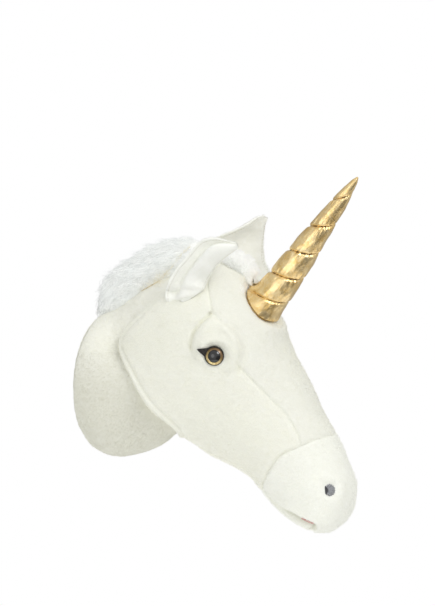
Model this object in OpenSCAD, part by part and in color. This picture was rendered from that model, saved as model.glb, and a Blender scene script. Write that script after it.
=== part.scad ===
// Wall-mounted stuffed unicorn head: sewn skin panels over stuffing on a round
// board, with a mane, flexing ears and horn, safety eyes and a swinging hanger.
// The board's flat rear lies on the wall plane Y = 0, +Y points into the wall,
// the head stands out along -Y, +Z is up and X = 0 is the plane of symmetry.

/* [Board and fixings] */
// Radius of the round backing board
board_r = 74; // [73:0.5:75]
// Thickness of the backing board
board_t = 15; // [14:0.5:16]
// Thickness of the felt that covers the back
felt_t = 1.5; // [1:0.1:1.6]
// Thickness of the turned-in fabric hem behind the board
hem_t = 1.5; // [1.2:0.1:1.8]
// Inner radius of the hem
hem_in_r = 60; // [59.5:0.5:64]
// Number of staples that hold the hem
staple_n = 12; // [8:1:16]
// Depth of the routed pocket for the hanger
pocket_d = 8; // [8:0.5:9]

/* [Hanger] */
// Radius of the hanger ring's wire
wire_r = 1.2; // [1:0.1:1.2]
// Centreline radius of the ring's round end
ring_r = 9; // [8.5:0.5:9]
// Width of the hanger strap
strap_w = 12; // [10:1:13]

/* [Skin and stuffing] */
// Thickness of the plush fabric with its backing
skin_t = 2; // [1.5:0.1:2.2]
// Gap between the fabric and the stuffing
stuff_gap = 1.8; // [1.6:0.1:2.2]

/* [Eyes] */
// Radius of the gold rim of each eye
eye_r = 9.8; // [9:0.1:10.5]
// Radius of the black dome
pupil_r = 7; // [6:0.5:7.5]

/* [Horn] */
// Length of the horn along its axis, from its sunken root
horn_len = 198; // [192:1:204]
// Angle of the horn above the horizontal
horn_tilt = 53; // [51:1:55]
// Rise of the spiral groove in one turn near the root
horn_pitch = 29.5; // [27:0.5:32]
// How much the rise grows with each turn
pitch_gain = 1.5; // [1:0.1:2]
// Depth of the spiral groove
groove_d = 2.2; // [1.5:0.1:2.5]

/* [Ears] */
// Thickness of each of the two layers of an ear
ear_t = 1.6; // [1.2:0.1:1.8]
// Angle that each ear flexes forwards or back
ear_flex = 15; // [8:1:15]

/* [Hidden] */
e = 0.01;
$fn = 48;

plush = [0.95, 0.94, 0.89];
hem_u = felt_t + 0.7;               // staple crowns lie in this 0.7 mm
board_u = hem_u + hem_t;            // rear face of the board
front_u = board_u + board_t;        // front face of the board
floor_u = board_u + pocket_d;       // floor of the hanger pocket
pocket_x = 17;
pocket_z0 = 8;
pocket_z1 = 56;
hinge_z = 42;                       // axis of the hanger ring
hinge_u = floor_u - 2.5;

// Stations of the head, from the poll to the tip of the snout:
// [front/top point u, z, rear/lower point u, z, half-width, squareness of
// the front half, squareness of the rear half]
HEAD = [[120, 134, 78, 100, 26, 2.0, 2.0],
        [150, 147, 44, 54, 60, 2.0, 2.4],
        [182, 134, 34, 12, 73, 2.3, 2.8],
        [204, 106, 42, -22, 78, 2.8, 3.0],
        [221, 76, 60, -47, 78, 2.8, 3.0],
        [237, 46, 94, -64, 72, 2.4, 2.6],
        [254, 18, 132, -77, 62, 2.2, 2.2],
        [272, -16, 164, -87, 54, 2.2, 2.1],
        [292, -50, 192, -100, 48, 2.2, 2.1],
        [308, -82, 212, -119, 46, 2.2, 2.1],
        [316, -108, 230, -135, 48, 2.2, 2.2],
        [313, -132, 252, -148, 46, 2.2, 2.2],
        [304, -148, 272, -155, 36, 2.1, 2.1],
        [295, -156, 284, -158, 18, 2.0, 2.0],
        [290, -159, 289, -159.5, 1, 2.0, 2.0]];
// Stations of the neck, from the wall forwards, in the same form
NECK = [[0, 77, 0, -77, 77, 2.0, 2.0],
        [6, 82, 6, -82, 81, 2.0, 2.0],
        [24, 89, 30, -88, 81, 2.1, 2.1],
        [46, 104, 60, -80, 74, 2.1, 2.1],
        [74, 122, 88, -64, 66, 2.1, 2.1],
        [104, 134, 112, -44, 60, 2.1, 2.1]];
// Seams, as [station, angle round the section]
TOP_SEAM = [[0, 90], [0.9, 90], [1.5, 68], [2, 52], [2.6, 40], [3.4, 39], [4, 43], [4.4, 39], [4.8, 34],
            [5.6, 35], [7, 41], [8, 34]];
JAW_SEAM = [[0, 242], [3.5, 242], [5, 238], [7, 230], [9, 225], [9.7, 216],
            [10.3, 199], [10.8, 188], [11.3, 184], [11.8, 204], [12.3, 262], [12.5, 270]];
// Mane along the crest: [u, base z, top z, half-width]
MANE = [[1, 79.5, 84, 9], [6, 84, 118, 12], [14, 87.5, 131, 14], [30, 95.5, 143, 15],
        [50, 109, 156, 16], [74, 124.5, 168, 16], [96, 133.5, 173, 16],
        [120, 137.5, 174, 16], [138, 146, 170, 14], [150, 149.5, 158, 8]];
TUFT = [[158, 148, 150.5, 5], [167, 146, 156, 11], [180, 139.5, 149, 12],
        [189, 131.5, 141, 9], [193, 126.5, 131, 4]];
// Horn: [distance along the axis, radius]
HORN = [[0, 20.5], [30, 19.8], [80, 16.6], [120, 13.2], [160, 9.2], [180, 6.4],
        [193, 3.2], [198, 1]];
horn_u = 200;
horn_z = 85;

// ---------- helpers ----------
function cr(a, b, c, d, t) = 0.5 * ((2 * b) + (c - a) * t + (2 * a - 5 * b + 4 * c - d) * t * t
                                    + (3 * b - a - 3 * c + d) * t * t * t);
function station(rows, s) = let (n = len(rows), i = min(floor(s), n - 2))
    cr(rows[max(i - 1, 0)], rows[i], rows[i + 1], rows[min(i + 2, n - 1)], s - i);
// Point of a section at angle th, moved outwards by d
function skin_point(r, th, d) =
    let (T = [r[0], r[1]], B = [r[2], r[3]], dir = (T - B) / norm(T - B), M = (T + B) / 2,
         c = cos(th), s = sin(th), n = s >= 0 ? r[5] : r[6],
         E = s >= 0 ? T + dir * d : B - dir * d,
         P = M + (E - M) * pow(abs(s), 2 / n))
    [max(r[4] + d, 0.3) * sign(c) * pow(abs(c), 2 / n), -P[0], P[1]];
function flat(a) = [for (r = a) for (p = r) p];

// Closed solid between an outer and an inner grid of points
module grid_solid(A, B) {
    n = len(A); m = len(A[0]); k = n * m;
    polyhedron(points = concat(flat(A), flat(B)), convexity = 8, faces = concat(
        [for (i = [0:n - 2]) for (j = [0:m - 2]) each let (a = i * m + j)
            [[a, a + m + 1, a + 1], [a, a + m, a + m + 1],
             [k + a, k + a + 1, k + a + m + 1], [k + a, k + a + m + 1, k + a + m]]],
        [for (i = [0:n - 2]) each let (a = i * m, b = i * m + m - 1)
            [[a, k + a, k + a + m], [a, k + a + m, a + m],
             [b, k + b + m, k + b], [b, b + m, k + b + m]]],
        [for (j = [0:m - 2]) each let (a = j, b = (n - 1) * m + j)
            [[a, k + a + 1, k + a], [a, a + 1, k + a + 1],
             [b, k + b, k + b + 1], [b, k + b + 1, b + 1]]]));
}
// Closed solid through a stack of closed rings
module ring_solid(G) {
    n = len(G); m = len(G[0]);
    c0 = [for (q = [0:2]) [for (p = G[0]) p[q]] * [for (p = G[0]) 1] / m];
    c1 = [for (q = [0:2]) [for (p = G[n - 1]) p[q]] * [for (p = G[n - 1]) 1] / m];
    polyhedron(points = concat(flat(G), [c0, c1]), convexity = 6, faces = concat(
        [for (i = [0:n - 2]) for (j = [0:m - 1]) each
            let (a = i * m + j, b = i * m + (j + 1) % m)
            [[a, b + m, b], [a, a + m, b + m]]],
        [for (j = [0:m - 1]) [n * m, j, (j + 1) % m]],
        [for (j = [0:m - 1]) [n * m + 1, (n - 1) * m + (j + 1) % m, (n - 1) * m + j]]));
}
// Panel of skin between two stations and two seams
module panel(rows, s0, s1, ns, lo, hi, nt, d0 = 0, d1 = -skin_t) {
    S = [for (i = [0:ns]) s0 + (s1 - s0) * i / ns];
    G = [for (d = [d0, d1]) [for (s = S) let (r = station(rows, s), a = lookup(s, lo), b = lookup(s, hi))
        [for (j = [0:nt]) skin_point(r, a + (b - a) * j / nt, d)]]];
    grid_solid(G[0], G[1]);
}
// Whole body of the head or neck, moved outwards by d (d2 past station 8)
module body(rows, s0, s1, ns, nt, d, d2) {
    ring_solid([for (i = [0:ns]) let (s = s0 + (s1 - s0) * i / ns, r = station(rows, s))
        [for (j = [0:nt - 1]) skin_point(r, 360 * j / nt, s > 7.9 ? d2 : d)]]);
}
module head_body(d) body(HEAD, 0, 13, 26, 36, d, d);
// Ridge along the crest
module ridge(rows) {
    ring_solid([for (i = [0:(len(rows) - 1) * 2]) let (r = station(rows, i / 2))
        [for (j = [0:12]) [r[3] * cos(15 * j), -r[0], r[1] + (r[2] - r[1]) * pow(sin(15 * j), 0.8)]]]);
}
// Tube about the Y axis, from depth u0 to u1
module along_y(r, u0, u1, x = 0, z = 0) translate([x, -u0, z]) rotate([90, 0, 0]) cylinder(r = r, h = u1 - u0);
module both() { children(); mirror([1, 0, 0]) children(); }
function shift(t, d) = [for (p = t) [p[0], p[1] + d]];
function flip(t) = [for (p = t) [p[0], 540 - p[1]]];
function under(t) = [for (p = t) [p[0], 180 - p[1]]];

// ---------- board, back cover and hanger ----------
module pocket(u0) translate([-pocket_x, -floor_u, pocket_z0]) cube([2 * pocket_x, floor_u - u0, pocket_z1 - pocket_z0]);
module back_board() color("burlywood") difference() {
    along_y(board_r, board_u, front_u, $fn = 96);
    pocket(-1);
    for (z = [24.5, 14]) along_y(1.2, floor_u - e, floor_u + 6, 0, z, $fn = 24);
}
module back_cover() color([0.86, 0.84, 0.78]) difference() {
    along_y(72, 0, felt_t, $fn = 96);
    pocket(-1);
}
module neck_hem() color(plush) difference() {
    along_y(74.4, hem_u, board_u, $fn = 96);
    along_y(hem_in_r, hem_u - 1, board_u + 1, $fn = 96);
}
module hem_staples() color("silver")
    for (i = [0:staple_n - 1]) rotate([0, -i * 360 / staple_n, 0]) translate([66.5, 0, 0]) {
        translate([-0.6, -hem_u, -5]) cube([1.2, 0.6, 10]);
        for (z = [-5, 4.4]) translate([-0.6, -hem_u - 8, z]) cube([1.2, 8.1, 0.6]);
    }
module hanger_strap() color("silver") difference() {
    union() {
        translate([-strap_w / 2, -floor_u, 9]) cube([strap_w, 1.2, hinge_z - 9]);
        translate([-6, -hinge_u, hinge_z]) rotate([0, 90, 0]) cylinder(r = 2.5, h = 12);
    }
    translate([-7, -hinge_u, hinge_z]) rotate([0, 90, 0]) cylinder(r = wire_r + 0.08, h = 14);
    for (z = [24.5, 14]) along_y(1.7, floor_u - 3, floor_u + 1, 0, z, $fn = 24);
}
module hanger_screws() color("gainsboro") for (z = [24.5, 14]) {
    along_y(1.5, floor_u - 1.3, floor_u + 5.5, 0, z, $fn = 24);
    difference() {
        along_y(3, floor_u - 3, floor_u - 1.2, 0, z, $fn = 32);
        for (a = [0, 90]) translate([0, -floor_u + 3, z]) rotate([0, a, 0]) cube([4, 1.6, 0.8], center = true);
    }
}
module hanger_ring() color("silver") {
    drop = 3;
    translate([-ring_r, -hinge_u, hinge_z]) rotate([0, 90, 0]) cylinder(r = wire_r, h = 2 * ring_r);
    for (x = [-ring_r, ring_r]) {
        translate([x, -hinge_u, hinge_z - drop]) cylinder(r = wire_r, h = drop);
        translate([x, -hinge_u, hinge_z]) sphere(r = wire_r);
    }
    translate([0, -hinge_u, hinge_z - drop]) rotate([90, 0, 0]) rotate([0, 0, 180])
        rotate_extrude(angle = 180) translate([ring_r, 0]) circle(r = wire_r, $fn = 24);
}

// ---------- neck ----------
module neck_half() difference() {
    panel(NECK, 0.15, 4.9, 12, [[0, -89.8], [6, -89.8]], [[0, 89.8], [6, 89.8]], 18);
    head_body(0.8);
}
module neck_skin_left() color(plush) neck_half();
module neck_skin_right() color(plush) mirror([1, 0, 0]) neck_half();
module neck_stuffing() color([0.97, 0.97, 0.96]) difference() {
    body(NECK, 1.8, 4.7, 6, 30, -skin_t - stuff_gap, -skin_t - stuff_gap);
    head_body(1.2);
}

// ---------- head ----------
module on_eye() translate([-74.3, -179, 44]) rotate([0, 0, 194.5]) rotate([0, 88, 0]) children();
module on_nostril() translate([-36.5, -301, -104.5]) rotate([0, 0, 219]) rotate([0, 74, 0]) children();
module cheek() difference() {
    panel(HEAD, 0, 7.98, 16, shift(under(JAW_SEAM), 0.3), shift(TOP_SEAM, -0.3), 16);
    mirror([1, 0, 0]) on_eye() translate([0, 0, -8]) cylinder(r = 2.9, h = 16, $fn = 24);
}
module cheek_left() color(plush) cheek();
module cheek_right() color(plush) mirror([1, 0, 0]) cheek();
module bridge_panel() color(plush)
    panel(HEAD, 2 * 7.98 / 16, 7.98, 14, shift(TOP_SEAM, 0.3), [for (p = TOP_SEAM) [p[0], 179.7 - p[1]]], 16);
module jaw_gusset() color(plush)
    panel(HEAD, 4, 9.48, 11, shift(JAW_SEAM, 0.3), shift(flip(JAW_SEAM), -0.3), 8);
module muzzle_skin() color(plush)
    panel(HEAD, 8.02, 13.52, 11, [for (p = flip(JAW_SEAM)) [p[0], p[1] - 359.4]], shift(JAW_SEAM, -0.6), 24);
module lower_lip() color(plush)
    panel(HEAD, 9.53, 12.03, 5, shift(JAW_SEAM, 1.4), shift(flip(JAW_SEAM), -1.4), 8);
module mouth_lining() color([0.72, 0.25, 0.28]) both()
    panel(HEAD, 9.53, 11.53, 4, shift(JAW_SEAM, -11), shift(JAW_SEAM, 13), 4, -skin_t - 1, -skin_t - 2);
module head_stuffing() color([0.97, 0.97, 0.96]) difference() {
    body(HEAD, 0.06, 12.9, 26, 32, -skin_t - stuff_gap, -skin_t - 3);
    both() on_eye() {
        translate([0, 0, -18]) cylinder(r = 3.2, h = 30, $fn = 24);
        translate([0, 0, -5.4]) cylinder(r = 9.6, h = 12, $fn = 32);
    }
}

// ---------- mane, eyes and nostrils ----------
module mane_strip() color([0.9, 0.92, 0.92]) ridge(MANE);
module forelock_tuft() color([0.9, 0.92, 0.92]) ridge(TUFT);
module eye() color([0.08, 0.07, 0.06]) on_eye() {
    translate([0, 0, 2]) cylinder(r = eye_r, h = 1.8);
    intersection() {
        translate([0, 0, 6.4 - 11]) sphere(r = 11, $fn = 64);
        translate([0, 0, 3.7]) cylinder(r = pupil_r, h = 8);
    }
    translate([0, 0, -16]) cylinder(r = 2.5, h = 18.5, $fn = 24);
}
module washer() color("whitesmoke") on_eye() translate([0, 0, -4.2]) difference() {
    cylinder(r = 9, h = 1.4);
    translate([0, 0, -1]) cylinder(r = 2.6, h = 4, $fn = 24);
}
module eye_felt() color([0.12, 0.1, 0.08]) on_eye() translate([0, 0, 0.9]) difference() {
    union() {
        cylinder(r = 10.8, h = 0.9);
        linear_extrude(0.9) polygon([[-10.4, -2.8], [-7, -19.6], [1.8, -10.6], [0, 0]]);
    }
    translate([0, 0, -1]) cylinder(r = 2.7, h = 3, $fn = 24);
}
module nostril() color([0.35, 0.34, 0.33]) on_nostril() translate([0, 0, 0.5]) intersection() {
    cylinder(r = 7.6, h = 1.1);
    for (a = [0:45:135]) rotate([0, 0, a]) translate([-9, -1.2, 0]) cube([18, 2.4, 1]);
}
module eye_right() eye();
module eye_left() mirror([1, 0, 0]) eye();
module eye_washer_right() washer();
module eye_washer_left() mirror([1, 0, 0]) washer();
module eye_felt_right() eye_felt();
module eye_felt_left() mirror([1, 0, 0]) eye_felt();
module nostril_right() nostril();
module nostril_left() mirror([1, 0, 0]) nostril();

// ---------- ears ----------
function unit(v) = v / norm(v);
// Each ear: spine points from root to tip, and the way that its face looks
RIGHT_SPINE = [[-64, -133, 100], [-67, -138, 120], [-71, -154, 141], [-73, -176, 157], [-71, -206, 164]];
RIGHT_FACE = [-0.95, -0.05, 0.3];
LEFT_SPINE = [[54, -151, 108], [56, -150, 143], [57, -153, 169], [59, -168, 186], [61, -185, 196]];
LEFT_FACE = [-0.6, -0.78, 0.15];
// Half-width along each ear, and the height of its face across it: the right
// ear is folded over at the front, the left one stands open
RIGHT_W = [[0, 20], [0.15, 22], [0.5, 22], [0.75, 17], [0.9, 9], [1, 1.5]];
LEFT_W = [[0, 38], [0.25, 37], [0.5, 33], [0.62, 24], [0.75, 15], [0.9, 9], [1, 1.5]];
RIGHT_H = [[-1, -4], [-0.7, 4], [-0.35, 9], [0, 5], [0.35, -6], [0.7, -6], [1, 3]];
LEFT_H = [[-1, 2], [-0.75, 3], [-0.5, 0], [-0.1, -7], [0.4, -8], [0.8, -3], [1, 3]];
H_SCALE = [[0, 0.6], [0.3, 1], [0.7, 1], [1, 0.2]];
function root_axis(K, f) = unit(cross(f, K[1] - K[0]));
// One layer of an ear, between heights a and b from its middle surface
module ear_layer(K, f, W, H, a, b) {
    nn = unit(f);
    G = [for (o = [b, a]) [for (i = [0:12]) let (t = i / 12, p = station(K, 4 * t),
            side = unit(cross(nn, station(K, min(4 * t + 0.1, 4)) - station(K, max(4 * t - 0.1, 0)))))
        [for (j = [-6:6]) p + side * lookup(t, W) * j / 6 + nn * (o + lookup(j / 6, H) * lookup(t, H_SCALE))]]];
    grid_solid(G[1], G[0]);
}
// The root is trimmed to clear the head at rest and when the ear is flexed by a
module ear(K, f, W, H, a, b, flex) difference() {
    ear_layer(K, f, W, H, a, b);
    head_body(3.5);
    translate(K[0]) rotate(a = flex, v = root_axis(K, f)) translate(-K[0]) head_body(1.5);
}
module ear_right(a, b) ear(RIGHT_SPINE, RIGHT_FACE, RIGHT_W, RIGHT_H, a, b, -ear_flex);
module ear_left(a, b) ear(LEFT_SPINE, LEFT_FACE, LEFT_W, LEFT_H, a, b, ear_flex);
module ear_outer_right() color(plush) ear_right(-ear_t - 0.4, -0.4);
module ear_lining_right() color([0.9, 0.9, 0.84]) ear_right(0, ear_t);
module ear_outer_left() color(plush) ear_left(-ear_t - 0.4, -0.4);
module ear_lining_left() color([0.9, 0.9, 0.84]) ear_left(0, ear_t);

// ---------- horn ----------
module on_horn() translate([0, -horn_u, horn_z]) rotate([90 - horn_tilt, 0, 0]) children();
// Turns of the groove up to distance t, and the distance reached after so many turns
groove_t0 = 27;
function turns(t) = (sqrt(pow(horn_pitch, 2) + 4 * pitch_gain * (t - groove_t0)) - horn_pitch) / (2 * pitch_gain);
function reach(k) = groove_t0 + horn_pitch * k + pitch_gain * k * k;
function groove(t, th) = let (x = abs(((turns(t) - th / 360 + 0.5) % 1 + 1) % 1 - 0.5) * 2) pow(x, 3);
module horn_outer() ring_solid([for (i = [0:44]) let (t = horn_len * i / 44, r = lookup(t, HORN))
    [for (j = [0:23]) let (q = r - min(groove_d, r / 3) * groove(t, 15 * j)) [q * cos(15 * j), q * sin(15 * j), t]]]);
module horn_core(d) ring_solid([for (i = [0:14]) let (t = (horn_len - 9) * i / 14, r = max(lookup(t, HORN) - d, 0.6))
    [for (j = [0:23]) [r * cos(15 * j), r * sin(15 * j), t]]]);
module horn_cover() color([0.8, 0.62, 0.3]) difference() {
    on_horn() horn_outer();
    on_horn() translate([0, 0, -1]) horn_core(3.8);
    head_body(4.6);
}
module horn_stuffing() color([0.97, 0.97, 0.96]) difference() {
    on_horn() translate([0, 0, -2]) horn_core(4.4);
    head_body(4.4);
}
module horn_thread() color([0.45, 0.3, 0.12]) on_horn() {
    a0 = 165; a1 = 1740; n = 76;
    ring_solid([for (i = [0:n]) let (th = a0 + (a1 - a0) * i / n, t = reach(th / 360 - 0.5),
                q = lookup(t, HORN) + 0.15 - 0.4 * min(groove_d, lookup(t, HORN) / 3))
        [for (k = [0:4]) [(q + 0.5 * cos(72 * k)) * cos(th), (q + 0.5 * cos(72 * k)) * sin(th), t - 0.5 * sin(72 * k)]]]);
}

back_board();
back_cover();
neck_hem();
hem_staples();
hanger_strap();
hanger_screws();
hanger_ring();
neck_skin_left();
neck_skin_right();
neck_stuffing();
cheek_left();
cheek_right();
bridge_panel();
jaw_gusset();
muzzle_skin();
lower_lip();
mouth_lining();
head_stuffing();
mane_strip();
forelock_tuft();
eye_left();
eye_right();
eye_washer_left();
eye_washer_right();
eye_felt_left();
eye_felt_right();
nostril_left();
nostril_right();
ear_outer_left();
ear_lining_left();
ear_outer_right();
ear_lining_right();
horn_cover();
horn_stuffing();
horn_thread();
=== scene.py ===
# Wall-mounted stuffed unicorn head: the visible model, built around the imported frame.
# Lengths in this file are millimetres until a mesh is made, then metres.
import math

import bpy
import numpy as np
from mathutils import Matrix, Vector


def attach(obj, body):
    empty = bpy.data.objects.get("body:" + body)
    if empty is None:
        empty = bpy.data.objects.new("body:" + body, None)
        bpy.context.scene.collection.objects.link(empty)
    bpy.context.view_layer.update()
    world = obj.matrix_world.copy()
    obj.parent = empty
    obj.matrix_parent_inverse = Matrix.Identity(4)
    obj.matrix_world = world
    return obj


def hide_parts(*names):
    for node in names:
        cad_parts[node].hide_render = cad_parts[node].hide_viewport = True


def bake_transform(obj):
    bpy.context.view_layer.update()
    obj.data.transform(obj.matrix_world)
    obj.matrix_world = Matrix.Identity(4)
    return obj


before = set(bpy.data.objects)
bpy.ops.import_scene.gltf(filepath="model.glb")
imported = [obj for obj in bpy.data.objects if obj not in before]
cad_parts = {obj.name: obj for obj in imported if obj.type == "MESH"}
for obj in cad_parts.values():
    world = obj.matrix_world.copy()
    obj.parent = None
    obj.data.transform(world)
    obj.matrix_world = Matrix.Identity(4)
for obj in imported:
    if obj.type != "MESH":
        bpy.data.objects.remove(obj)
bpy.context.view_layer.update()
RAD = math.pi / 180

# ---------------------------------------------------------------- camera, light, floor
scene = bpy.context.scene
scene.view_settings.view_transform = "Standard"
scene.view_settings.look = "None"
scene.view_settings.exposure = 0.0
scene.view_settings.gamma = 1.0

AZ, EL = 67 * RAD, 4 * RAD
BACK = Vector((-math.sin(AZ) * math.cos(EL), -math.cos(AZ) * math.cos(EL), math.sin(EL)))
CAM_R = (-BACK).cross(Vector((0, 0, 1))).normalized()
CAM_U = CAM_R.cross(-BACK)
DIST = 2.0
FP = 99 / 36 * 606
cam_pos = BACK * DIST - CAM_R * ((103 - 217.5) / FP * DIST) + CAM_U * ((381 - 303) / FP * DIST)
cam_data = bpy.data.cameras.new("camera")
cam_data.lens = 99
cam_data.sensor_width = 36
cam_data.clip_start = 0.05
cam = bpy.data.objects.new("camera", cam_data)
rot = Matrix((CAM_R, CAM_U, BACK)).transposed()
cam.matrix_world = Matrix.Translation(cam_pos) @ rot.to_4x4()
scene.collection.objects.link(cam)
scene.camera = cam


def area_light(name, pos, target, size, power, color=(1, 1, 1)):
    d = bpy.data.lights.new(name, "AREA")
    d.shape = "DISK"
    d.size = size
    d.energy = power
    d.color = color
    o = bpy.data.objects.new(name, d)
    p, t = Vector(pos), Vector(target)
    o.matrix_world = Matrix.Translation(p) @ (t - p).to_track_quat("-Z", "Y").to_matrix().to_4x4()
    scene.collection.objects.link(o)
    return o


area_light("key", (-1.0, -2.1, 1.75), (0, -0.17, 0.02), 1.3, 25)
area_light("fill", (-2.2, 0.1, 0.2), (0, -0.17, 0.0), 1.6, 7)

# A large soft box all round: strongest from the front and above, weak from below.
world = bpy.data.worlds.new("studio")
scene.world = world
world.use_nodes = True
wn = world.node_tree
wn.nodes.clear()
w_out = wn.nodes.new("ShaderNodeOutputWorld")
w_mix = wn.nodes.new("ShaderNodeMixShader")
w_lp = wn.nodes.new("ShaderNodeLightPath")
w_tc = wn.nodes.new("ShaderNodeTexCoord")
w_dot = wn.nodes.new("ShaderNodeVectorMath")
w_dot.operation = "DOT_PRODUCT"
w_dot.inputs[1].default_value = Vector((-0.62, -0.50, 0.60)).normalized()
w_map = wn.nodes.new("ShaderNodeMapRange")
w_map.interpolation_type = "SMOOTHSTEP"
w_map.inputs["From Min"].default_value = -0.9
w_map.inputs["From Max"].default_value = 0.9
w_map.inputs["To Min"].default_value = 0.44
w_map.inputs["To Max"].default_value = 0.84
w_a = wn.nodes.new("ShaderNodeBackground")
w_b = wn.nodes.new("ShaderNodeBackground")
w_a.inputs["Color"].default_value = (0.98, 0.99, 1.0, 1)
w_b.inputs["Color"].default_value = (1, 1, 1, 1)
w_b.inputs["Strength"].default_value = 1.0
wn.links.new(w_tc.outputs["Generated"], w_dot.inputs[0])
wn.links.new(w_dot.outputs["Value"], w_map.inputs["Value"])
# a dark card low in front gives the gold cloth something to reflect
w_card = wn.nodes.new("ShaderNodeVectorMath")
w_card.operation = "DOT_PRODUCT"
w_card.inputs[1].default_value = Vector((-0.42, -0.80, -0.42)).normalized()
w_cm = wn.nodes.new("ShaderNodeMapRange")
w_cm.interpolation_type = "SMOOTHSTEP"
w_cm.inputs["From Min"].default_value = 0.80
w_cm.inputs["From Max"].default_value = 0.93
w_cm.inputs["To Min"].default_value = 1.0
w_cm.inputs["To Max"].default_value = 0.25
w_mul = wn.nodes.new("ShaderNodeMath")
w_mul.operation = "MULTIPLY"
wn.links.new(w_tc.outputs["Generated"], w_card.inputs[0])
wn.links.new(w_card.outputs["Value"], w_cm.inputs["Value"])
wn.links.new(w_map.outputs["Result"], w_mul.inputs[0])
wn.links.new(w_cm.outputs["Result"], w_mul.inputs[1])
wn.links.new(w_mul.outputs[0], w_a.inputs["Strength"])
wn.links.new(w_lp.outputs["Is Camera Ray"], w_mix.inputs[0])
wn.links.new(w_a.outputs[0], w_mix.inputs[1])
wn.links.new(w_b.outputs[0], w_mix.inputs[2])
wn.links.new(w_mix.outputs[0], w_out.inputs[0])


# ---------------------------------------------------------------- materials
def new_mat(name):
    m = bpy.data.materials.new(name)
    m.use_nodes = True
    nt = m.node_tree
    nt.nodes.clear()
    out = nt.nodes.new("ShaderNodeOutputMaterial")
    bsdf = nt.nodes.new("ShaderNodeBsdfPrincipled")
    nt.links.new(bsdf.outputs[0], out.inputs[0])
    return m, nt, bsdf


def node(nt, kind, **vals):
    n = nt.nodes.new(kind)
    for k, v in vals.items():
        if k in n.inputs:
            n.inputs[k].default_value = v
        else:
            setattr(n, k, v)
    return n


def coords(nt, scale=(1, 1, 1), attr=None):
    if attr:
        src = node(nt, "ShaderNodeAttribute", attribute_name=attr).outputs["Vector"]
    else:
        src = nt.nodes.new("ShaderNodeTexCoord").outputs["Object"]
    mp = nt.nodes.new("ShaderNodeMapping")
    mp.inputs["Scale"].default_value = scale
    nt.links.new(src, mp.inputs[0])
    return mp.outputs[0]


def noise(nt, vec, scale, detail=2.0, rough=0.5, dist=0.0):
    n = nt.nodes.new("ShaderNodeTexNoise")
    n.inputs["Scale"].default_value = scale
    n.inputs["Detail"].default_value = detail
    n.inputs["Roughness"].default_value = rough
    n.inputs["Distortion"].default_value = dist
    nt.links.new(vec, n.inputs["Vector"])
    return n.outputs["Fac"]


def ramp(nt, fac, stops):
    r = nt.nodes.new("ShaderNodeValToRGB")
    els = r.color_ramp.elements
    while len(els) < len(stops):
        els.new(0.5)
    for el, (p, c) in zip(els, stops):
        el.position = p
        el.color = (*c, 1) if len(c) == 3 else c
    nt.links.new(fac, r.inputs[0])
    return r.outputs[0]


def mix(nt, a, b, fac, mode="MIX"):
    n = nt.nodes.new("ShaderNodeMix")
    n.data_type = "RGBA"
    n.blend_type = mode
    for sock, v in ((n.inputs[0], fac), (n.inputs[6], a), (n.inputs[7], b)):
        if isinstance(v, bpy.types.NodeSocket):
            nt.links.new(v, sock)
        elif isinstance(v, (int, float)):
            sock.default_value = v
        else:
            sock.default_value = (*v, 1) if len(v) == 3 else v
    return n.outputs[2]


def math_node(nt, op, a, b=None, c=None):
    n = nt.nodes.new("ShaderNodeMath")
    n.operation = op
    for sock, v in zip(n.inputs, (a, b, c)):
        if v is None:
            continue
        if isinstance(v, bpy.types.NodeSocket):
            nt.links.new(v, sock)
        else:
            sock.default_value = v
    return n.outputs[0]


def bump(nt, bsdf, heights):
    """heights: (socket, strength, distance), chained into one normal."""
    prev = None
    for h, strength, dist in heights:
        b = nt.nodes.new("ShaderNodeBump")
        b.inputs["Strength"].default_value = strength
        b.inputs["Distance"].default_value = dist
        nt.links.new(h, b.inputs["Height"])
        if prev is not None:
            nt.links.new(prev, b.inputs["Normal"])
        prev = b.outputs[0]
    nt.links.new(prev, bsdf.inputs["Normal"])


def plush_mat(name, light, dark, stain=0.0, pile=1.0):
    m, nt, b = new_mat(name)
    v = coords(nt)
    big = noise(nt, v, 14, 3, 0.6)
    mid = noise(nt, v, 120, 3, 0.65, 0.4)
    fine = noise(nt, v, 620, 3, 0.7, 0.6)
    hair = noise(nt, coords(nt, (1, 1, 0.35)), 1900, 2, 0.6)
    c = mix(nt, dark, light, ramp(nt, mid, [(0.3, (0, 0, 0)), (0.62, (1, 1, 1))]))
    c = mix(nt, c, tuple(x * y for x, y in zip(light, (0.975, 0.98, 0.955))), ramp(nt, big, [(0.42, (0, 0, 0)), (0.75, (0.6, 0.6, 0.6))]))
    # painted shade between fibre clumps: darker where the fine noise is low, the same noise that sinks the bump below
    c = mix(nt, c, (0.93, 0.93, 0.90), ramp(nt, fine, [(0.35, (0.5, 0.5, 0.5)), (0.65, (0, 0, 0))]), "MULTIPLY")
    nt.links.new(c, b.inputs["Base Color"])
    b.inputs["Roughness"].default_value = 0.9
    b.inputs["Specular IOR Level"].default_value = 0.18
    b.inputs["Sheen Weight"].default_value = 0.22
    b.inputs["Sheen Roughness"].default_value = 0.45
    bump(nt, b, [(mid, 0.2, 0.0012 * pile), (fine, 0.6, 0.0006 * pile), (hair, 0.45, 0.0003 * pile)])
    return m


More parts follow.
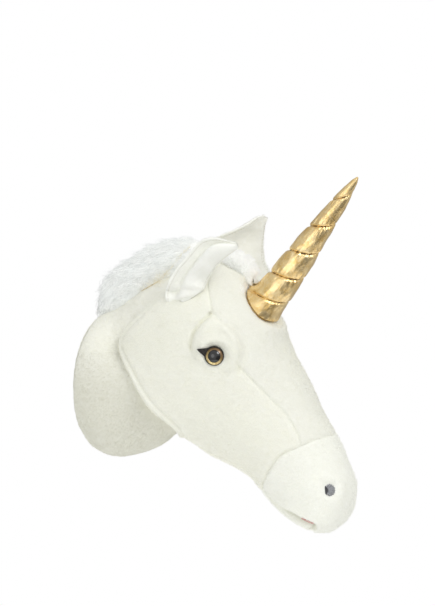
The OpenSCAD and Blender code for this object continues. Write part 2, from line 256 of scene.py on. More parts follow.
PLUSH = (0.90, 0.897, 0.815)
PLUSH_D = (0.885, 0.88, 0.79)
M_PLUSH = plush_mat("plush", PLUSH, PLUSH_D)
# the neck's plush is a darker copy of the head's: painted shade for the neck, which turns away from the light
M_NECK_SHADED = plush_mat("plush_neck", (0.785, 0.778, 0.69), (0.755, 0.745, 0.65))
ntn = M_NECK_SHADED.node_tree
bs = ntn.nodes["Principled BSDF"]
old = bs.inputs["Base Color"].links[0].from_socket
sz = ntn.nodes.new("ShaderNodeSeparateXYZ")
ntn.links.new(ntn.nodes.new("ShaderNodeTexCoord").outputs["Object"], sz.inputs[0])
# painted shade deepest low on the neck: a ramp on height mixes back toward the head's colour near the top
up = ramp(ntn, math_node(ntn, "MULTIPLY", math_node(ntn, "ADD", sz.outputs[2], 0.06), 7.0), [(0.40, (0, 0, 0)), (0.92, (1, 1, 1))])
ntn.links.new(mix(ntn, old, (0.895, 0.89, 0.81), up), bs.inputs["Base Color"])
# the bridge's plush is a slightly darker copy of the head's: painted shade that tones down the light falling on the
# bridge
M_BRIDGE_SHADED = plush_mat("plush_bridge", (0.875, 0.872, 0.80), (0.86, 0.855, 0.778))
# the muzzle's plush is a lighter copy of the head's: painted light
M_MUZZLE_LIT = plush_mat("plush_muzzle", (0.935, 0.935, 0.872), (0.915, 0.912, 0.842))


# ---------------------------------------------------------------- shape of the skin
HEAD = [[120, 134, 78, 100, 26, 2.0, 2.0], [150, 147, 44, 54, 60, 2.0, 2.4], [182, 134, 34, 12, 73, 2.3, 2.8],
        [204, 106, 42, -22, 78, 2.8, 3.0], [221, 76, 60, -47, 78, 2.8, 3.0], [237, 46, 94, -64, 72, 2.4, 2.6],
        [254, 18, 132, -77, 62, 2.2, 2.2], [272, -16, 164, -87, 54, 2.2, 2.1], [292, -50, 192, -100, 48, 2.2, 2.1],
        [308, -82, 212, -119, 46, 2.2, 2.1], [316, -108, 230, -135, 48, 2.2, 2.2], [313, -132, 252, -148, 46, 2.2, 2.2],
        [304, -148, 272, -155, 36, 2.1, 2.1], [295, -156, 284, -158, 18, 2.0, 2.0], [290, -159, 289, -159.5, 1, 2.0, 2.0]]
NECK = [[0, 77, 0, -77, 77, 2, 2], [6, 82, 6, -82, 81, 2, 2], [24, 89, 30, -88, 81, 2.1, 2.1],
        [46, 104, 60, -80, 74, 2.1, 2.1], [74, 122, 88, -64, 66, 2.1, 2.1], [104, 134, 112, -44, 60, 2.1, 2.1],
        [126, 133, 130, -26, 52, 2.1, 2.1]]
TOP_SEAM = [[0, 90], [2.3, 90], [3.3, 54], [4.6, 38], [7, 38], [8, 42]]
JAW_SEAM = [[0, 242], [3.5, 242], [5, 238], [7, 230], [9, 225], [9.7, 216], [10.3, 199], [10.8, 188],
            [11.3, 184], [11.8, 204], [12.3, 262], [12.5, 270]]


def cr(rows, s):
    """Catmull-Rom through the rows, at stations s (array)."""
    rows = np.asarray(rows, float)
    n = len(rows)
    s = np.asarray(s, float)
    i = np.clip(np.floor(s).astype(int), 0, n - 2)
    t = (s - i)[..., None]
    a, b, c, d = (rows[np.clip(i + k, 0, n - 1)] for k in (-1, 0, 1, 2))
    return 0.5 * ((2 * b) + (c - a) * t + (2 * a - 5 * b + 4 * c - d) * t * t + (3 * b - a - 3 * c + d) * t ** 3)


def lut(pairs, s):
    p = np.asarray(pairs, float)
    return np.interp(s, p[:, 0], p[:, 1])


def skin(rows, s, th, d=0.0):
    """Points of the skin at stations s and angles th (degrees), moved out by d: arrays of X, Y, Z."""
    s, th = np.broadcast_arrays(np.asarray(s, float), np.asarray(th, float))
    r = cr(rows, s)
    T, B = r[..., 0:2], r[..., 2:4]
    w, nt, nb = r[..., 4], r[..., 5], r[..., 6]
    dirn = (T - B) / np.linalg.norm(T - B, axis=-1, keepdims=True)
    M = (T + B) / 2
    c, sn = np.cos(th * RAD), np.sin(th * RAD)
    n = np.where(sn >= 0, nt, nb)
    d = np.asarray(d, float)
    d2 = (np.broadcast_to(d, s.shape))[..., None]
    E = np.where((sn >= 0)[..., None], T + dirn * d2, B - dirn * d2)
    P = M + (E - M) * (np.abs(sn) ** (2 / n))[..., None]
    x = np.maximum(w + d, 0.3) * np.sign(c) * np.abs(c) ** (2 / n)
    return np.stack([x, -P[..., 0], P[..., 1]], -1)


def even_rings(rows, S, m):
    """Angles, evenly spaced by arc length round each ring, from the top (90 degrees)."""
    dense = np.linspace(90, 450, 2881)
    out = np.empty((len(S), m + 1))
    for k, s in enumerate(S):
        p = skin(rows, s, dense)
        seg = np.linalg.norm(np.diff(p, axis=0), axis=1)
        cum = np.concatenate([[0], np.cumsum(seg)])
        out[k] = np.interp(np.linspace(0, cum[-1], m + 1), cum, dense)
    return out[:, :m]


def grid_normals(P, closed=True):
    """Normals of a grid of points (n, m, 3), outward for rings that run round from the top."""
    du = np.gradient(P, axis=0)
    if closed:
        Q = np.concatenate([P[:, -1:], P, P[:, :1]], 1)
        dv = (Q[:, 2:] - Q[:, :-2]) / 2
    else:
        dv = np.gradient(P, axis=1)
    N = np.cross(du, dv)
    L = np.linalg.norm(N, axis=-1, keepdims=True)
    return N / np.maximum(L, 1e-9)


# smooth repeatable noise in three dimensions
def _hash(ix, iy, iz, seed):
    h = (ix.astype(np.int64) * 374761393 + iy.astype(np.int64) * 668265263 + iz.astype(np.int64) * 2147483647 + seed * 974634777) & 0xFFFFFFFF
    h = ((h ^ (h >> 13)) * 1274126177) & 0xFFFFFFFF
    h = h ^ (h >> 16)
    return (h & 0xFFFFFF) / 0xFFFFFF


def vnoise(P, wave, seed=0):
    """Value noise of -1 to 1 with the given wavelength in mm."""
    Q = np.asarray(P, float) / wave
    I = np.floor(Q).astype(np.int64)
    F = Q - I
    F = F * F * F * (F * (F * 6 - 15) + 10)
    out = 0
    for dx in (0, 1):
        wx = F[..., 0] if dx else 1 - F[..., 0]
        for dy in (0, 1):
            wy = F[..., 1] if dy else 1 - F[..., 1]
            for dz in (0, 1):
                wz = F[..., 2] if dz else 1 - F[..., 2]
                out = out + wx * wy * wz * _hash(I[..., 0] + dx, I[..., 1] + dy, I[..., 2] + dz, seed)
    return out * 2 - 1


def line_dist(P, L):
    """Distance from points P to polyline L, and the place along it (0 to 1)."""
    P = np.asarray(P, float)
    L = np.asarray(L, float)
    shape = P.shape[:-1]
    Q = P.reshape(-1, 3)
    best = np.full(len(Q), 1e9)
    at = np.zeros(len(Q))
    seg = np.linalg.norm(np.diff(L, axis=0), axis=1)
    cum = np.concatenate([[0], np.cumsum(seg)])
    for k in range(len(L) - 1):
        a, b = L[k], L[k + 1]
        ab = b - a
        t = np.clip(((Q - a) @ ab) / max(ab @ ab, 1e-9), 0, 1)
        d = np.linalg.norm(Q - (a + t[:, None] * ab), axis=1)
        m = d < best
        best[m] = d[m]
        at[m] = (cum[k] + t[m] * seg[k]) / cum[-1]
    return best.reshape(shape), at.reshape(shape)


def smooth(x, a, b):
    t = np.clip((x - a) / (b - a), 0, 1)
    return t * t * (3 - 2 * t)


def bell(d, r):
    return np.exp(-(d / r) ** 2)


def curve_pts(pairs, n=40, rows=None, d=0.0):
    """A smooth line of points on the skin through [station, angle] pairs."""
    rows = HEAD if rows is None else rows
    q = cr(pairs, np.linspace(0, len(pairs) - 1, n))
    return skin(rows, q[:, 0], q[:, 1], d)


# ---------------------------------------------------------------- mesh making
def mesh_obj(name, verts, faces, mat, smooth_shade=True):
    """verts in mm (n,3); faces as an int array (k,3 or 4) or list of arrays."""
    me = bpy.data.meshes.new(name)
    verts = np.asarray(verts, np.float64) / 1000.0
    if isinstance(faces, np.ndarray):
        faces = [faces]
    loops = np.concatenate([f.reshape(-1) for f in faces]).astype(np.int32)
    sizes = np.concatenate([np.full(len(f), f.shape[1], np.int32) for f in faces])
    starts = np.concatenate([[0], np.cumsum(sizes)[:-1]]).astype(np.int32)
    me.vertices.add(len(verts))
    me.vertices.foreach_set("co", verts.astype(np.float32).reshape(-1))
    me.loops.add(len(loops))
    me.loops.foreach_set("vertex_index", loops)
    me.polygons.add(len(sizes))
    me.polygons.foreach_set("loop_start", starts)
    me.polygons.foreach_set("loop_total", sizes)
    if smooth_shade:
        me.polygons.foreach_set("use_smooth", np.ones(len(sizes), bool))
    me.update(calc_edges=True)
    me.validate()
    if mat is not None:
        me.materials.append(mat)
    o = bpy.data.objects.new(name, me)
    scene.collection.objects.link(o)
    return o


def grid_faces(n, m, closed=True):
    i = np.arange(n - 1)[:, None]
    j = np.arange(m if closed else m - 1)[None, :]
    a = i * m + j
    b = i * m + (j + 1) % m
    return np.stack([a, b, b + m, a + m], -1).reshape(-1, 4)


def compact(P, F):
    """Keep only the vertices that the faces use."""
    used = np.unique(F)
    new = np.full(len(P), -1, np.int64)
    new[used] = np.arange(len(used))
    return P[used], new[F], used


# ---------------------------------------------------------------- features of the face
# Lines on the head as [station, angle] on its right side; the left side mirrors them.
JOWL = [[0.3, 90], [0.38, 120], [0.55, 150], [0.72, 178], [0.86, 200], [1.02, 217], [1.36, 227], [1.88, 217],
        [2.44, 208.5], [3.03, 205], [3.72, 203.5], [4.3, 205.5], [4.8, 210], [5.13, 216], [5.3, 234], [5.35, 252], [5.36, 270]]
TOP_LINE = [[1.3, 98], [1.45, 118], [1.72, 131], [2.02, 137], [2.35, 141], [2.7, 145], [3.05, 144], [3.39, 141], [3.69, 138],
            [4.02, 137], [4.33, 140], [4.64, 148], [4.98, 146], [5.45, 145], [5.86, 144], [6.3, 142], [6.72, 139.5], [7.1, 139],
            [7.5, 141.5], [7.84, 147]]
MUZZLE_LINE = [[7.95, 90], [7.9, 112], [7.86, 134], [7.85, 158], [7.86, 173], [7.97, 182], [8.12, 192], [8.32, 205], [8.55, 221],
               [8.8, 240], [8.9, 256], [8.92, 270]]
JAW_LINE = [[5.2, 236], [6, 234], [7, 230], [8, 227.5], [9, 226], [9.35, 226]]
MOUTH_LINE = [[9.35, 226], [9.71, 219], [10.11, 211], [10.47, 201.5], [10.93, 190.5], [11.35, 181], [11.62, 187], [11.9, 212], [12.3, 254], [12.4, 270]]
JAW_BACK = [[5.36, 270], [6, 270], [7, 270]]

EYE = np.array([-74.3, -179.0, 44.0])
E_FWD = np.array([0.22, -0.975, 0.0])
E_UP = np.array([0.06, 0.014, 1.0])
NOSTRIL = np.array([-36.5, -301.0, -104.5])
HORN_U, HORN_Z, TILT = 200.0, 85.0, 53 * RAD
HORN_P = np.array([0, -HORN_U, HORN_Z])
HORN_D = np.array([0, -math.cos(TILT), math.sin(TILT)])


def line3(pairs, n=90):
    return curve_pts(pairs, n)


def chart_line(pairs, n=160):
    return cr(pairs, np.linspace(0, len(pairs) - 1, n))


def eye_line(ab, n=40):
    """A line given as forward, up distances from the eye, near the skin."""
    q = cr(ab, np.linspace(0, len(ab) - 1, n))
    return q


def flat_dist(a, b, L):
    z = np.zeros_like(a)
    d, t = line_dist(np.stack([a, b, z], -1), np.concatenate([L, np.zeros((len(L), 1))], 1))
    return d, t


def inside(s, th, poly):
    """Even-odd test of chart points against a closed polygon of [station, angle]."""
    c = np.zeros(s.shape, bool)
    m = len(poly)
    for k in range(m):
        (x0, y0), (x1, y1) = poly[k], poly[(k + 1) % m]
        if y0 == y1:
            continue
        hit = (y0 > th) != (y1 > th)
        xs = x0 + (th - y0) / (y1 - y0) * (x1 - x0)
        c ^= hit & (s < xs)
    return c


J3 = line3(JOWL, 140)
JC = chart_line(JOWL)
NECK_SIDE = np.concatenate([JC, [[5.36, 270.01], [-1, 270.01], [-1, 89.99], [0.3, 89.99]]])
T3 = line3(TOP_LINE, 120)
M3 = line3(MUZZLE_LINE, 90)
A3 = line3(JAW_LINE, 60)
O3 = line3(MOUTH_LINE, 90)
CREASE = eye_line([[-5, 49], [-12, 43], [-19, 36], [-25.5, 28], [-29, 19], [-30, 10], [-28, 3]])
ROLL = eye_line([[8, 31], [15, 26], [20, 17], [22, 6], [20, -5], [15, -12]])
FURROW = eye_line([[12, 35], [21, 28], [28, 16], [31, 4], [29, -8], [25, -16]])
LID = eye_line([[-18, 3], [-13, 10], [-5, 14.5], [4, 14], [11, 9], [14.5, 2]])


def near_side(P, th):
    Q = P.copy()
    Q[..., 0] = -np.abs(Q[..., 0])
    t = np.where(P[..., 0] > 0, 180 - th, th) % 360
    t = np.where(t < 90, 180 - t, t)
    t = np.where(t > 270, 540 - t, t)
    return Q, t


def sculpt(P, s, th):
    """How far the skin stands out from the plain loft at each point, in mm."""
    Q, t = near_side(P, th)
    out = vnoise(P, 52, 3) * 1.1 + vnoise(P, 24, 5) * 0.45 + vnoise(P, 11, 6) * 0.16
    # cheek seam to the neck: a welt of two rows of stitching
    d, at = line_dist(Q, J3)
    behind = inside(s, t, NECK_SIDE)
    w = 0.35 + 0.65 * smooth(at, 0.2, 0.4) * (1 - smooth(at, 0.86, 0.97))
    head_side = -2.2 * bell(d, 1.5) + w * (2.0 * bell(d - 4.2, 2.8) - 0.9 * bell(d - 8.8, 1.4) + 0.8 * bell(d - 14, 5))
    head_side = head_side + 5.5 * bell(np.linalg.norm(Q - np.array([-48, -58, 64]), axis=-1), 26)
    out = np.where(behind, out - 1.5 * bell(d, 1.5) - 1.0 - 15 * smooth(d, 0.5, 9), out + head_side)
    # brow, lids and the folds round the eye
    e = Q - EYE
    a = e @ E_FWD
    b = e @ E_UP
    near = np.linalg.norm(e, axis=-1) < 75
    rho = np.sqrt((a / 30) ** 2 + ((b - 17) / 32) ** 2)
    brow = 7.4 * (1 - smooth(rho, 0.45, 1.08)) * smooth(b, -26, -3)
    dc, tc = flat_dist(a, b, CREASE)
    dr, tr = flat_dist(a, b, ROLL)
    df, tf = flat_dist(a, b, FURROW)
    dl, tl = flat_dist(a, b, LID)
    brow = brow + 1.2 * bell(np.abs(dc - 6), 4) * (rho < 1) - 4.4 * bell(dc, 2.2) * smooth(tc, -0.02, 0.12) * (1 - smooth(tc, 0.8, 1.05))
    brow = brow + 2.6 * bell(dr, 5.0) - 3.2 * bell(df, 3.8) * (1 - 0.5 * smooth(tf, 0.0, 0.4) * (1 - smooth(tf, 0.5, 0.9)))
    re = np.hypot(a, b)
    brow = brow * smooth(re, 10.5, 19) + 1.4 * bell(dl, 3.0) + 0.7 * bell(re - 15, 3) * smooth(-b, -2, 8) - 0.5 * bell(re, 11)
    out = out + np.where(near, brow, 0)
    # panel seams
    for L, deep, wide, puff in ((T3, 1.2, 1.3, 0.45), (M3, 1.7, 1.4, 0.9), (A3, 1.7, 1.4, 0.7)):
        d, at = line_dist(Q, L)
        fade = 1.0
        if L is T3:
            fade = np.where(at < 0.36, 1.0, 0.35 + 0.65 * smooth(at, 0.52, 0.6)) * (1 - 0.35 * smooth(at, 0.9, 1.0))
        if L is M3:
            fade = 0.35 + 0.65 * smooth(at, 0.25, 0.5)
        out = out + np.where(behind, 0, fade * (-deep * bell(d, wide) + puff * bell(d - 6, 4) - 0.25 * puff * bell(d, 14)))
    # mouth: a slit that deepens towards the middle, a full lower lip
    d, at = line_dist(Q, O3)
    o = smooth(at, 0.12, 0.34) * (1 - smooth(at, 0.62, 0.8))
    lower = inside(s, t, LOWER)
    out = out - (0.9 + 7.0 * o) * bell(d, 1.4 + 0.9 * o) + np.where(lower, 1.6 * bell(d - 6.5, 4.2) * (0.4 + 0.6 * o), 1.2 * bell(d - 5, 3.6))
    # the gusset is drawn tight where it meets the throat
    dj = np.hypot(P[..., 1] - J3[-1][1], P[..., 2] - J3[-1][2])
    out = out - 13.0 * bell(dj, 33) * smooth(t, 206, 240)
    # nostril pinch and the soft wing round it
    dn = np.linalg.norm(Q - NOSTRIL, axis=-1)
    out = out - 2.4 * bell(dn, 7.5) + 1.3 * bell(dn - 15, 6)
    # the skin gathers in under the horn
    v = P - HORN_P - np.array([-2.0, 4.0, 0.0])
    ax = v @ HORN_D
    rad = np.linalg.norm(v - ax[..., None] * HORN_D, axis=-1)
    out = out - (7.5 * (1 - smooth(rad, 21, 35)) - 1.0 * bell(rad - 38, 6)) * (v @ HORN_D > -60)
    out = out - 9.5 * bell(np.linalg.norm(P - HORN_P - np.array([-17, 18, 2]), axis=-1), 24)
    out = out + 7.0 * bell(np.linalg.norm((P - np.array([0, -223, 76])) * (0.6, 1, 1), axis=-1), 15)
    # the nap of the pile
    out = out + vnoise(P, 5.2, 11) * 0.20 + vnoise(P * (1, 1, 1.5), 2.9, 12) * 0.16
    return out


LOWER = np.concatenate([chart_line(MOUTH_LINE), [[12.4, 270.01], [9.35, 270.01]]])


def head_grid(S, m):
    TH = even_rings(HEAD, S, m)
    P = skin(HEAD, S[:, None], TH)
    N = grid_normals(P)
    if ((P - P.mean((0, 1))) * N).sum(-1).mean() < 0:
        N = -N
    SG = np.repeat(S[:, None], m, 1)
    D = sculpt(P, SG, TH)
    return P + N * D[..., None], SG, TH, D, P


def spread_stations(subs, first=0):
    return np.concatenate([first + k + np.arange(c) / c for k, c in enumerate(subs)])


# ---------------------------------------------------------------- the head's surface
HS = np.concatenate([spread_stations([52, 40, 34, 32, 34, 36, 36, 36, 34]), [9.0]])
HM = 560
PH, HSg, HTg, HD, PH0 = head_grid(HS, HM)
MS = np.concatenate([spread_stations([60, 56, 44, 44, 42, 34, 24], 7), [13.97]])
MM = 540
PM, MSg, MTg, MD, PM0 = head_grid(MS, MM)


# ---------------------------------------------------------------- the neck's surface
from mathutils.bvhtree import BVHTree

hv = PH[:, ::2][::2]
head_tree = BVHTree.FromPolygons([tuple(p) for p in hv.reshape(-1, 3)], grid_faces(hv.shape[0], hv.shape[1]).tolist())


def head_gap(P):
    """Signed distance of points from the head's skin (negative inside)."""
    Q = P.reshape(-1, 3)
    out = np.empty(len(Q))
    for k, p in enumerate(Q):
        loc, nrm, _, dist = head_tree.find_nearest(Vector(p))
        out[k] = dist if (Vector(p) - loc).dot(nrm) > 0 else -dist
    return out.reshape(P.shape[:-1])


NS = np.concatenate([np.linspace(0, 1, 9)[:-1], np.linspace(1, 5, 112)[:-1], np.linspace(5, 6, 20)])
NM = 440
NT = even_rings(NECK, NS, NM)
PN = skin(NECK, NS[:, None], NT)
NN = grid_normals(PN)
if ((PN - PN.mean((0, 1))) * NN).sum(-1).mean() < 0:
    NN = -NN
Q, _ = near_side(PN, NT)
Nq = NN.copy()
Nq[..., 0] = np.where(PN[..., 0] > 0, -Nq[..., 0], Nq[..., 0])
# the neck is drawn in or out to meet the cheek seam
dn = np.full(Q.shape[:2], 0.0)
wt = np.zeros(Q.shape[:2])
L = J3
best = np.full(Q.shape[:2], 1e9)
off = np.zeros(Q.shape[:2])
tan = np.zeros(Q.shape[:2])
JAT = np.zeros(Q.shape[:2])
for k in range(len(L)):
    v = L[k] - Q
    al = (v * Nq).sum(-1)
    tg = np.sqrt(np.maximum((v * v).sum(-1) - al * al, 0))
    m = tg + 0.25 * np.abs(al) < best
    best[m] = (tg + 0.25 * np.abs(al))[m]
    off[m] = np.clip(al[m], -22, 22)
    tan[m] = tg[m]
    JAT[m] = k / (len(L) - 1)
low = smooth(JAT, 0.50, 0.66)
pull = np.where(off > 0, off * (1 - low), off) * bell(tan, 20) - 1.5 * bell(tan, 14)
PNd = PN + NN * (pull + vnoise(PN, 46, 21) * 1.2 + vnoise(PN, 20, 22) * 0.5 + vnoise(PN, 5.2, 23) * 0.2 + vnoise(PN, 2.9, 24) * 0.15)[..., None]
# seam down the middle of the throat, and along the crest under the mane
PNd = PNd - NN * (1.5 * bell(PN[..., 0], 1.4) - 0.6 * bell(np.abs(PN[..., 0]) - 6, 4))[..., None]
gap = head_gap(PNd)

neck_tree = BVHTree.FromPolygons([tuple(p) for p in PNd.reshape(-1, 3)], grid_faces(PNd.shape[0], NM).tolist())


def cut(name, P, keep, mat, closed=True):
    """A piece made of the faces whose first corner is marked in keep."""
    n, m = keep.shape
    F = grid_faces(n, m, closed)
    k = keep[:-1] if closed else keep[:-1, :-1]
    V, F, _ = compact(P.reshape(-1, 3), F[k.reshape(-1)])
    return mesh_obj(name, V, F, mat)


MUZZLE_SIDE = np.concatenate([chart_line(MUZZLE_LINE), [[8.92, 270.01], [14.5, 270.01], [14.5, 89.99], [7.95, 89.99]]])
Qh, th_h = near_side(PH, HTg)
back_cut = inside(HSg, th_h, NECK_SIDE) & (HD < -11.5)
# behind the seam the head's skin is kept until it runs inside the neck
ib, jb = np.nonzero(back_cut)
for i_, j_ in zip(ib, jb):
    p_ = Vector(PH[i_, j_])
    loc, nrm, _, dist = neck_tree.find_nearest(p_)
    if (p_ - loc).dot(nrm) > -3.0:
        back_cut[i_, j_] = False
muz = inside(HSg, th_h, MUZZLE_SIDE)
jaw = (HSg > 5.25) & (th_h > lut(JAW_LINE, HSg)) & ~muz & ~back_cut
bridge = (HSg > 1.3) & (th_h < lut(TOP_LINE, HSg)) & ~muz & ~back_cut
cheek = ~(back_cut | muz | jaw | bridge)
# columns run round from the top: the right side (negative X) comes first
right = (HTg >= 90) & (HTg < 270)
skins = {}
skins["plush_cheek_right"] = cut("plush_cheek_right", PH, cheek & right, M_PLUSH)
skins["plush_cheek_left"] = cut("plush_cheek_left", PH, cheek & ~right, M_PLUSH)
skins["plush_bridge"] = cut("plush_bridge", PH, bridge, M_BRIDGE_SHADED)
skins["plush_jaw"] = cut("plush_jaw", PH, jaw, M_PLUSH)
Qm, th_m = near_side(PM, MTg)
in_muz = inside(MSg, th_m, MUZZLE_SIDE)
dm, am = line_dist(near_side(PM0, MTg)[0], O3)
slit = (dm < 1.8) & (am > 0.40) & (am < 0.57) & (MD < -1.6)
lip = in_muz & inside(MSg, th_m, LOWER) & ~slit
skins["plush_muzzle"] = cut("plush_muzzle", PM, in_muz & ~slit & ~lip, M_MUZZLE_LIT)
skins["plush_lower_lip"] = cut("plush_lower_lip", PM, lip, M_PLUSH)

m, nt, b = new_mat("mouth_cloth")
v = coords(nt)
c = mix(nt, (0.78, 0.34, 0.33), (0.62, 0.22, 0.22), ramp(nt, noise(nt, v, 260, 3, 0.6), [(0.35, (0, 0, 0)), (0.7, (1, 1, 1))]))
nt.links.new(c, b.inputs["Base Color"])
b.inputs["Roughness"].default_value = 0.85
b.inputs["Sheen Weight"].default_value = 0.3
bump(nt, b, [(noise(nt, v, 1400, 2), 0.5, 0.0003)])
M_MOUTH = m
mouth = cut("mouth_lining_cloth", PM, in_muz & slit, M_MOUTH)
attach(mouth, "root")
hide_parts("mouth_lining")
for nm, nodes_ in (("plush_cheek_right", ["cheek_right"]), ("plush_cheek_left", ["cheek_left"]), ("plush_bridge", ["bridge_panel", "head_stuffing"]),
                   ("plush_jaw", ["jaw_gusset"]), ("plush_muzzle", ["muzzle_skin"]), ("plush_lower_lip", ["lower_lip"])):
    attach(skins[nm], "root")
    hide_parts(*nodes_)

# ---------------------------------------------------------------- the neck's pieces
# the rear edge is drawn round the board and pleated flat behind it
ang = np.arctan2(PNd[0, :, 2], PNd[0, :, 0])
rim_rows = []
for u, r in ((1.95, 62), (1.9, 66), (1.85, 70), (1.8, 71.6), (1.35, 72.8), (0.65, 74.2), (0.25, 75.6), (0.3, 76.6), (0.9, 77.6), (2.0, 78.6)):
    pl = np.sin(ang * 36 + 1.7 * np.sin(ang * 5)) * (0.35 if r > 72.5 else 0.0)
    rr = r + 0.35 * vnoise(np.stack([np.cos(ang) * 60, np.sin(ang) * 60, 0 * ang + r], -1), 9, 31)
    uu = np.maximum(u + pl * 0.5, 0.05)
    rim_rows.append(np.stack([rr * np.cos(ang), -uu, rr * np.sin(ang)], -1))
PNd[0] = PNd[0] * 0.35 + 0.65 * np.stack([79.3 * np.cos(ang), -3.4 + 0 * ang, 79.3 * np.sin(ang)], -1)
PNf = np.concatenate([np.array(rim_rows), PNd], 0)
gapf = np.concatenate([np.full((len(rim_rows), NM), 9.0), gap], 0)
TNf = np.concatenate([np.repeat(NT[:1], len(rim_rows), 0), NT], 0)
keep = gapf > -7
keep[-1] = False
rightn = (TNf >= 90) & (TNf < 270)
for nm, nd, msk in (("plush_neck_right", ["neck_skin_right", "neck_stuffing", "neck_hem"], rightn), ("plush_neck_left", ["neck_skin_left"], ~rightn)):
    skins[nm] = cut(nm, PNf, keep & msk, M_NECK_SHADED)
    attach(skins[nm], "root")
    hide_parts(*nd)

# ---------------------------------------------------------------- helpers for the small parts
def scad_frame(origin, rz, ry):
    cz, sz, cy, sy = math.cos(rz * RAD), math.sin(rz * RAD), math.cos(ry * RAD), math.sin(ry * RAD)
    Rz = np.array([[cz, -sz, 0], [sz, cz, 0], [0, 0, 1]])
    Ry = np.array([[cy, 0, sy], [0, 1, 0], [-sy, 0, cy]])
    return np.array(origin, float), Rz @ Ry


def place(fr, local, mirror=False):
    P = fr[0] + np.asarray(local, float) @ fr[1].T
    if mirror:
        P = P * (-1, 1, 1)
    return P


def flip(F):
    return F[:, ::-1]


mv = PM[:, ::2][::2]
muz_tree = BVHTree.FromPolygons([tuple(p) for p in mv.reshape(-1, 3)], grid_faces(mv.shape[0], mv.shape[1]).tolist())


def onto(tree, P, d, back=12.0, miss=0.0):
    """How far along -d each point must go to land on the surface (points start back mm out)."""
    out = np.full(len(P), miss)
    dv = Vector(-d)
    for k, p in enumerate(P):
        loc, _, _, dist = tree.ray_cast(Vector(p + d * back), dv, back * 3)
        if loc is not None:
            out[k] = dist - back
    return out


def tubes(lines, rad, sides=6):
    """Thin tubes along a list of (k,3) lines of equal length; rad is a number or (n,k)."""
    L = np.asarray(lines, float)
    n, k, _ = L.shape
    T = np.gradient(L, axis=1)
    T /= np.maximum(np.linalg.norm(T, axis=-1, keepdims=True), 1e-9)
    ref = np.where(np.abs(T[..., 2:3]) < 0.8, np.array([0, 0, 1.0]), np.array([1.0, 0, 0]))
    A = np.cross(T, ref)
    A /= np.maximum(np.linalg.norm(A, axis=-1, keepdims=True), 1e-9)
    B = np.cross(T, A)
    r = np.broadcast_to(np.asarray(rad, float), (n, k))[..., None]
    ang = np.arange(sides) * 2 * math.pi / sides
    V = np.concatenate([(L + r * (math.cos(q) * A + math.sin(q) * B))[:, :, None] for q in ang], 2)
    i = (np.arange(n) * k * sides)[:, None, None]
    j = (np.arange(k - 1) * sides)[None, :, None]
    q = np.arange(sides)[None, None, :]
    a = i + j + q
    b = i + j + (q + 1) % sides
    F = np.stack([a, b, b + sides, a + sides], -1).reshape(-1, 4)
    caps = []
    for e, rev in ((0, True), (k - 1, False)):
        c = (np.arange(n) * k * sides + e * sides)[:, None] + np.arange(sides)[None]
        caps.append(c[:, ::-1] if rev else c)
    return V.reshape(-1, 3), [F] + caps


def strands(root, d0, d1, length, width, segs=3, up=None, curl=0.0, seed=1, taper=0.25, tilt=0.7):
    """Flat hairs: from root, leaving along d0 and turning to d1. All arrays (n,3); length and width (n,)."""
    n = len(root)
    rg = np.random.default_rng(seed)
    d0 = d0 / np.maximum(np.linalg.norm(d0, axis=-1, keepdims=True), 1e-9)
    d1 = d1 / np.maximum(np.linalg.norm(d1, axis=-1, keepdims=True), 1e-9)
    pts = [root]
    p = root.copy()
    side0 = rg.normal(size=(n, 3))
    ph = rg.uniform(0, 6.28, n)
    for k in range(segs):
        w = ((k + 0.5) / segs) ** 0.7
        d = d0 * (1 - w) + d1 * w
        if curl:
            d = d + curl * np.sin(ph + 5.0 * w)[:, None] * side0
        d = d / np.maximum(np.linalg.norm(d, axis=-1, keepdims=True), 1e-9)
        p = p + d * (length / segs)[:, None]
        pts.append(p)
    L = np.stack(pts, 1)
    T = np.gradient(L, axis=1)
    S = np.cross(T, (side0 if up is None else up + tilt * side0)[:, None])
    S /= np.maximum(np.linalg.norm(S, axis=-1, keepdims=True), 1e-9)
    t = np.linspace(0, 1, segs + 1)[None, :, None]
    w = width[:, None, None] * (1 - (1 - taper) * t ** 1.5) / 2
    V = np.stack([L - S * w, L + S * w], 2).reshape(n, (segs + 1) * 2, 3)
    base = (np.arange(n) * (segs + 1) * 2)[:, None]
    j = np.arange(segs)[None] * 2
    F = np.stack([base + j, base + j + 1, base + j + 3, base + j + 2], -1).reshape(-1, 4)
    return V.reshape(-1, 3), F


def sample(P, N, keep, dens, seed, closed=True):
    """Random places on a grid surface: about dens per square mm."""
    rg = np.random.default_rng(seed)
    F = grid_faces(P.shape[0], P.shape[1], closed)
    k = keep[:-1] if closed else keep[:-1, :-1]
    F = F[k.reshape(-1)]
    V = P.reshape(-1, 3)
    VN = N.reshape(-1, 3)
    a, b, c, d = (V[F[:, i]] for i in range(4))
    area = 0.5 * (np.linalg.norm(np.cross(b - a, c - a), axis=1) + np.linalg.norm(np.cross(c - a, d - a), axis=1))
    n = rg.poisson(area * dens)
    idx = np.repeat(np.arange(len(F)), n)
    u, v = rg.uniform(size=(2, len(idx)))
    w = np.stack([(1 - u) * (1 - v), u * (1 - v), u * v, (1 - u) * v], 1)[..., None]
    Q = (V[F[idx]] * w).sum(1)
    M = (VN[F[idx]] * w).sum(1)
    return Q, M / np.maximum(np.linalg.norm(M, axis=1, keepdims=True), 1e-9)


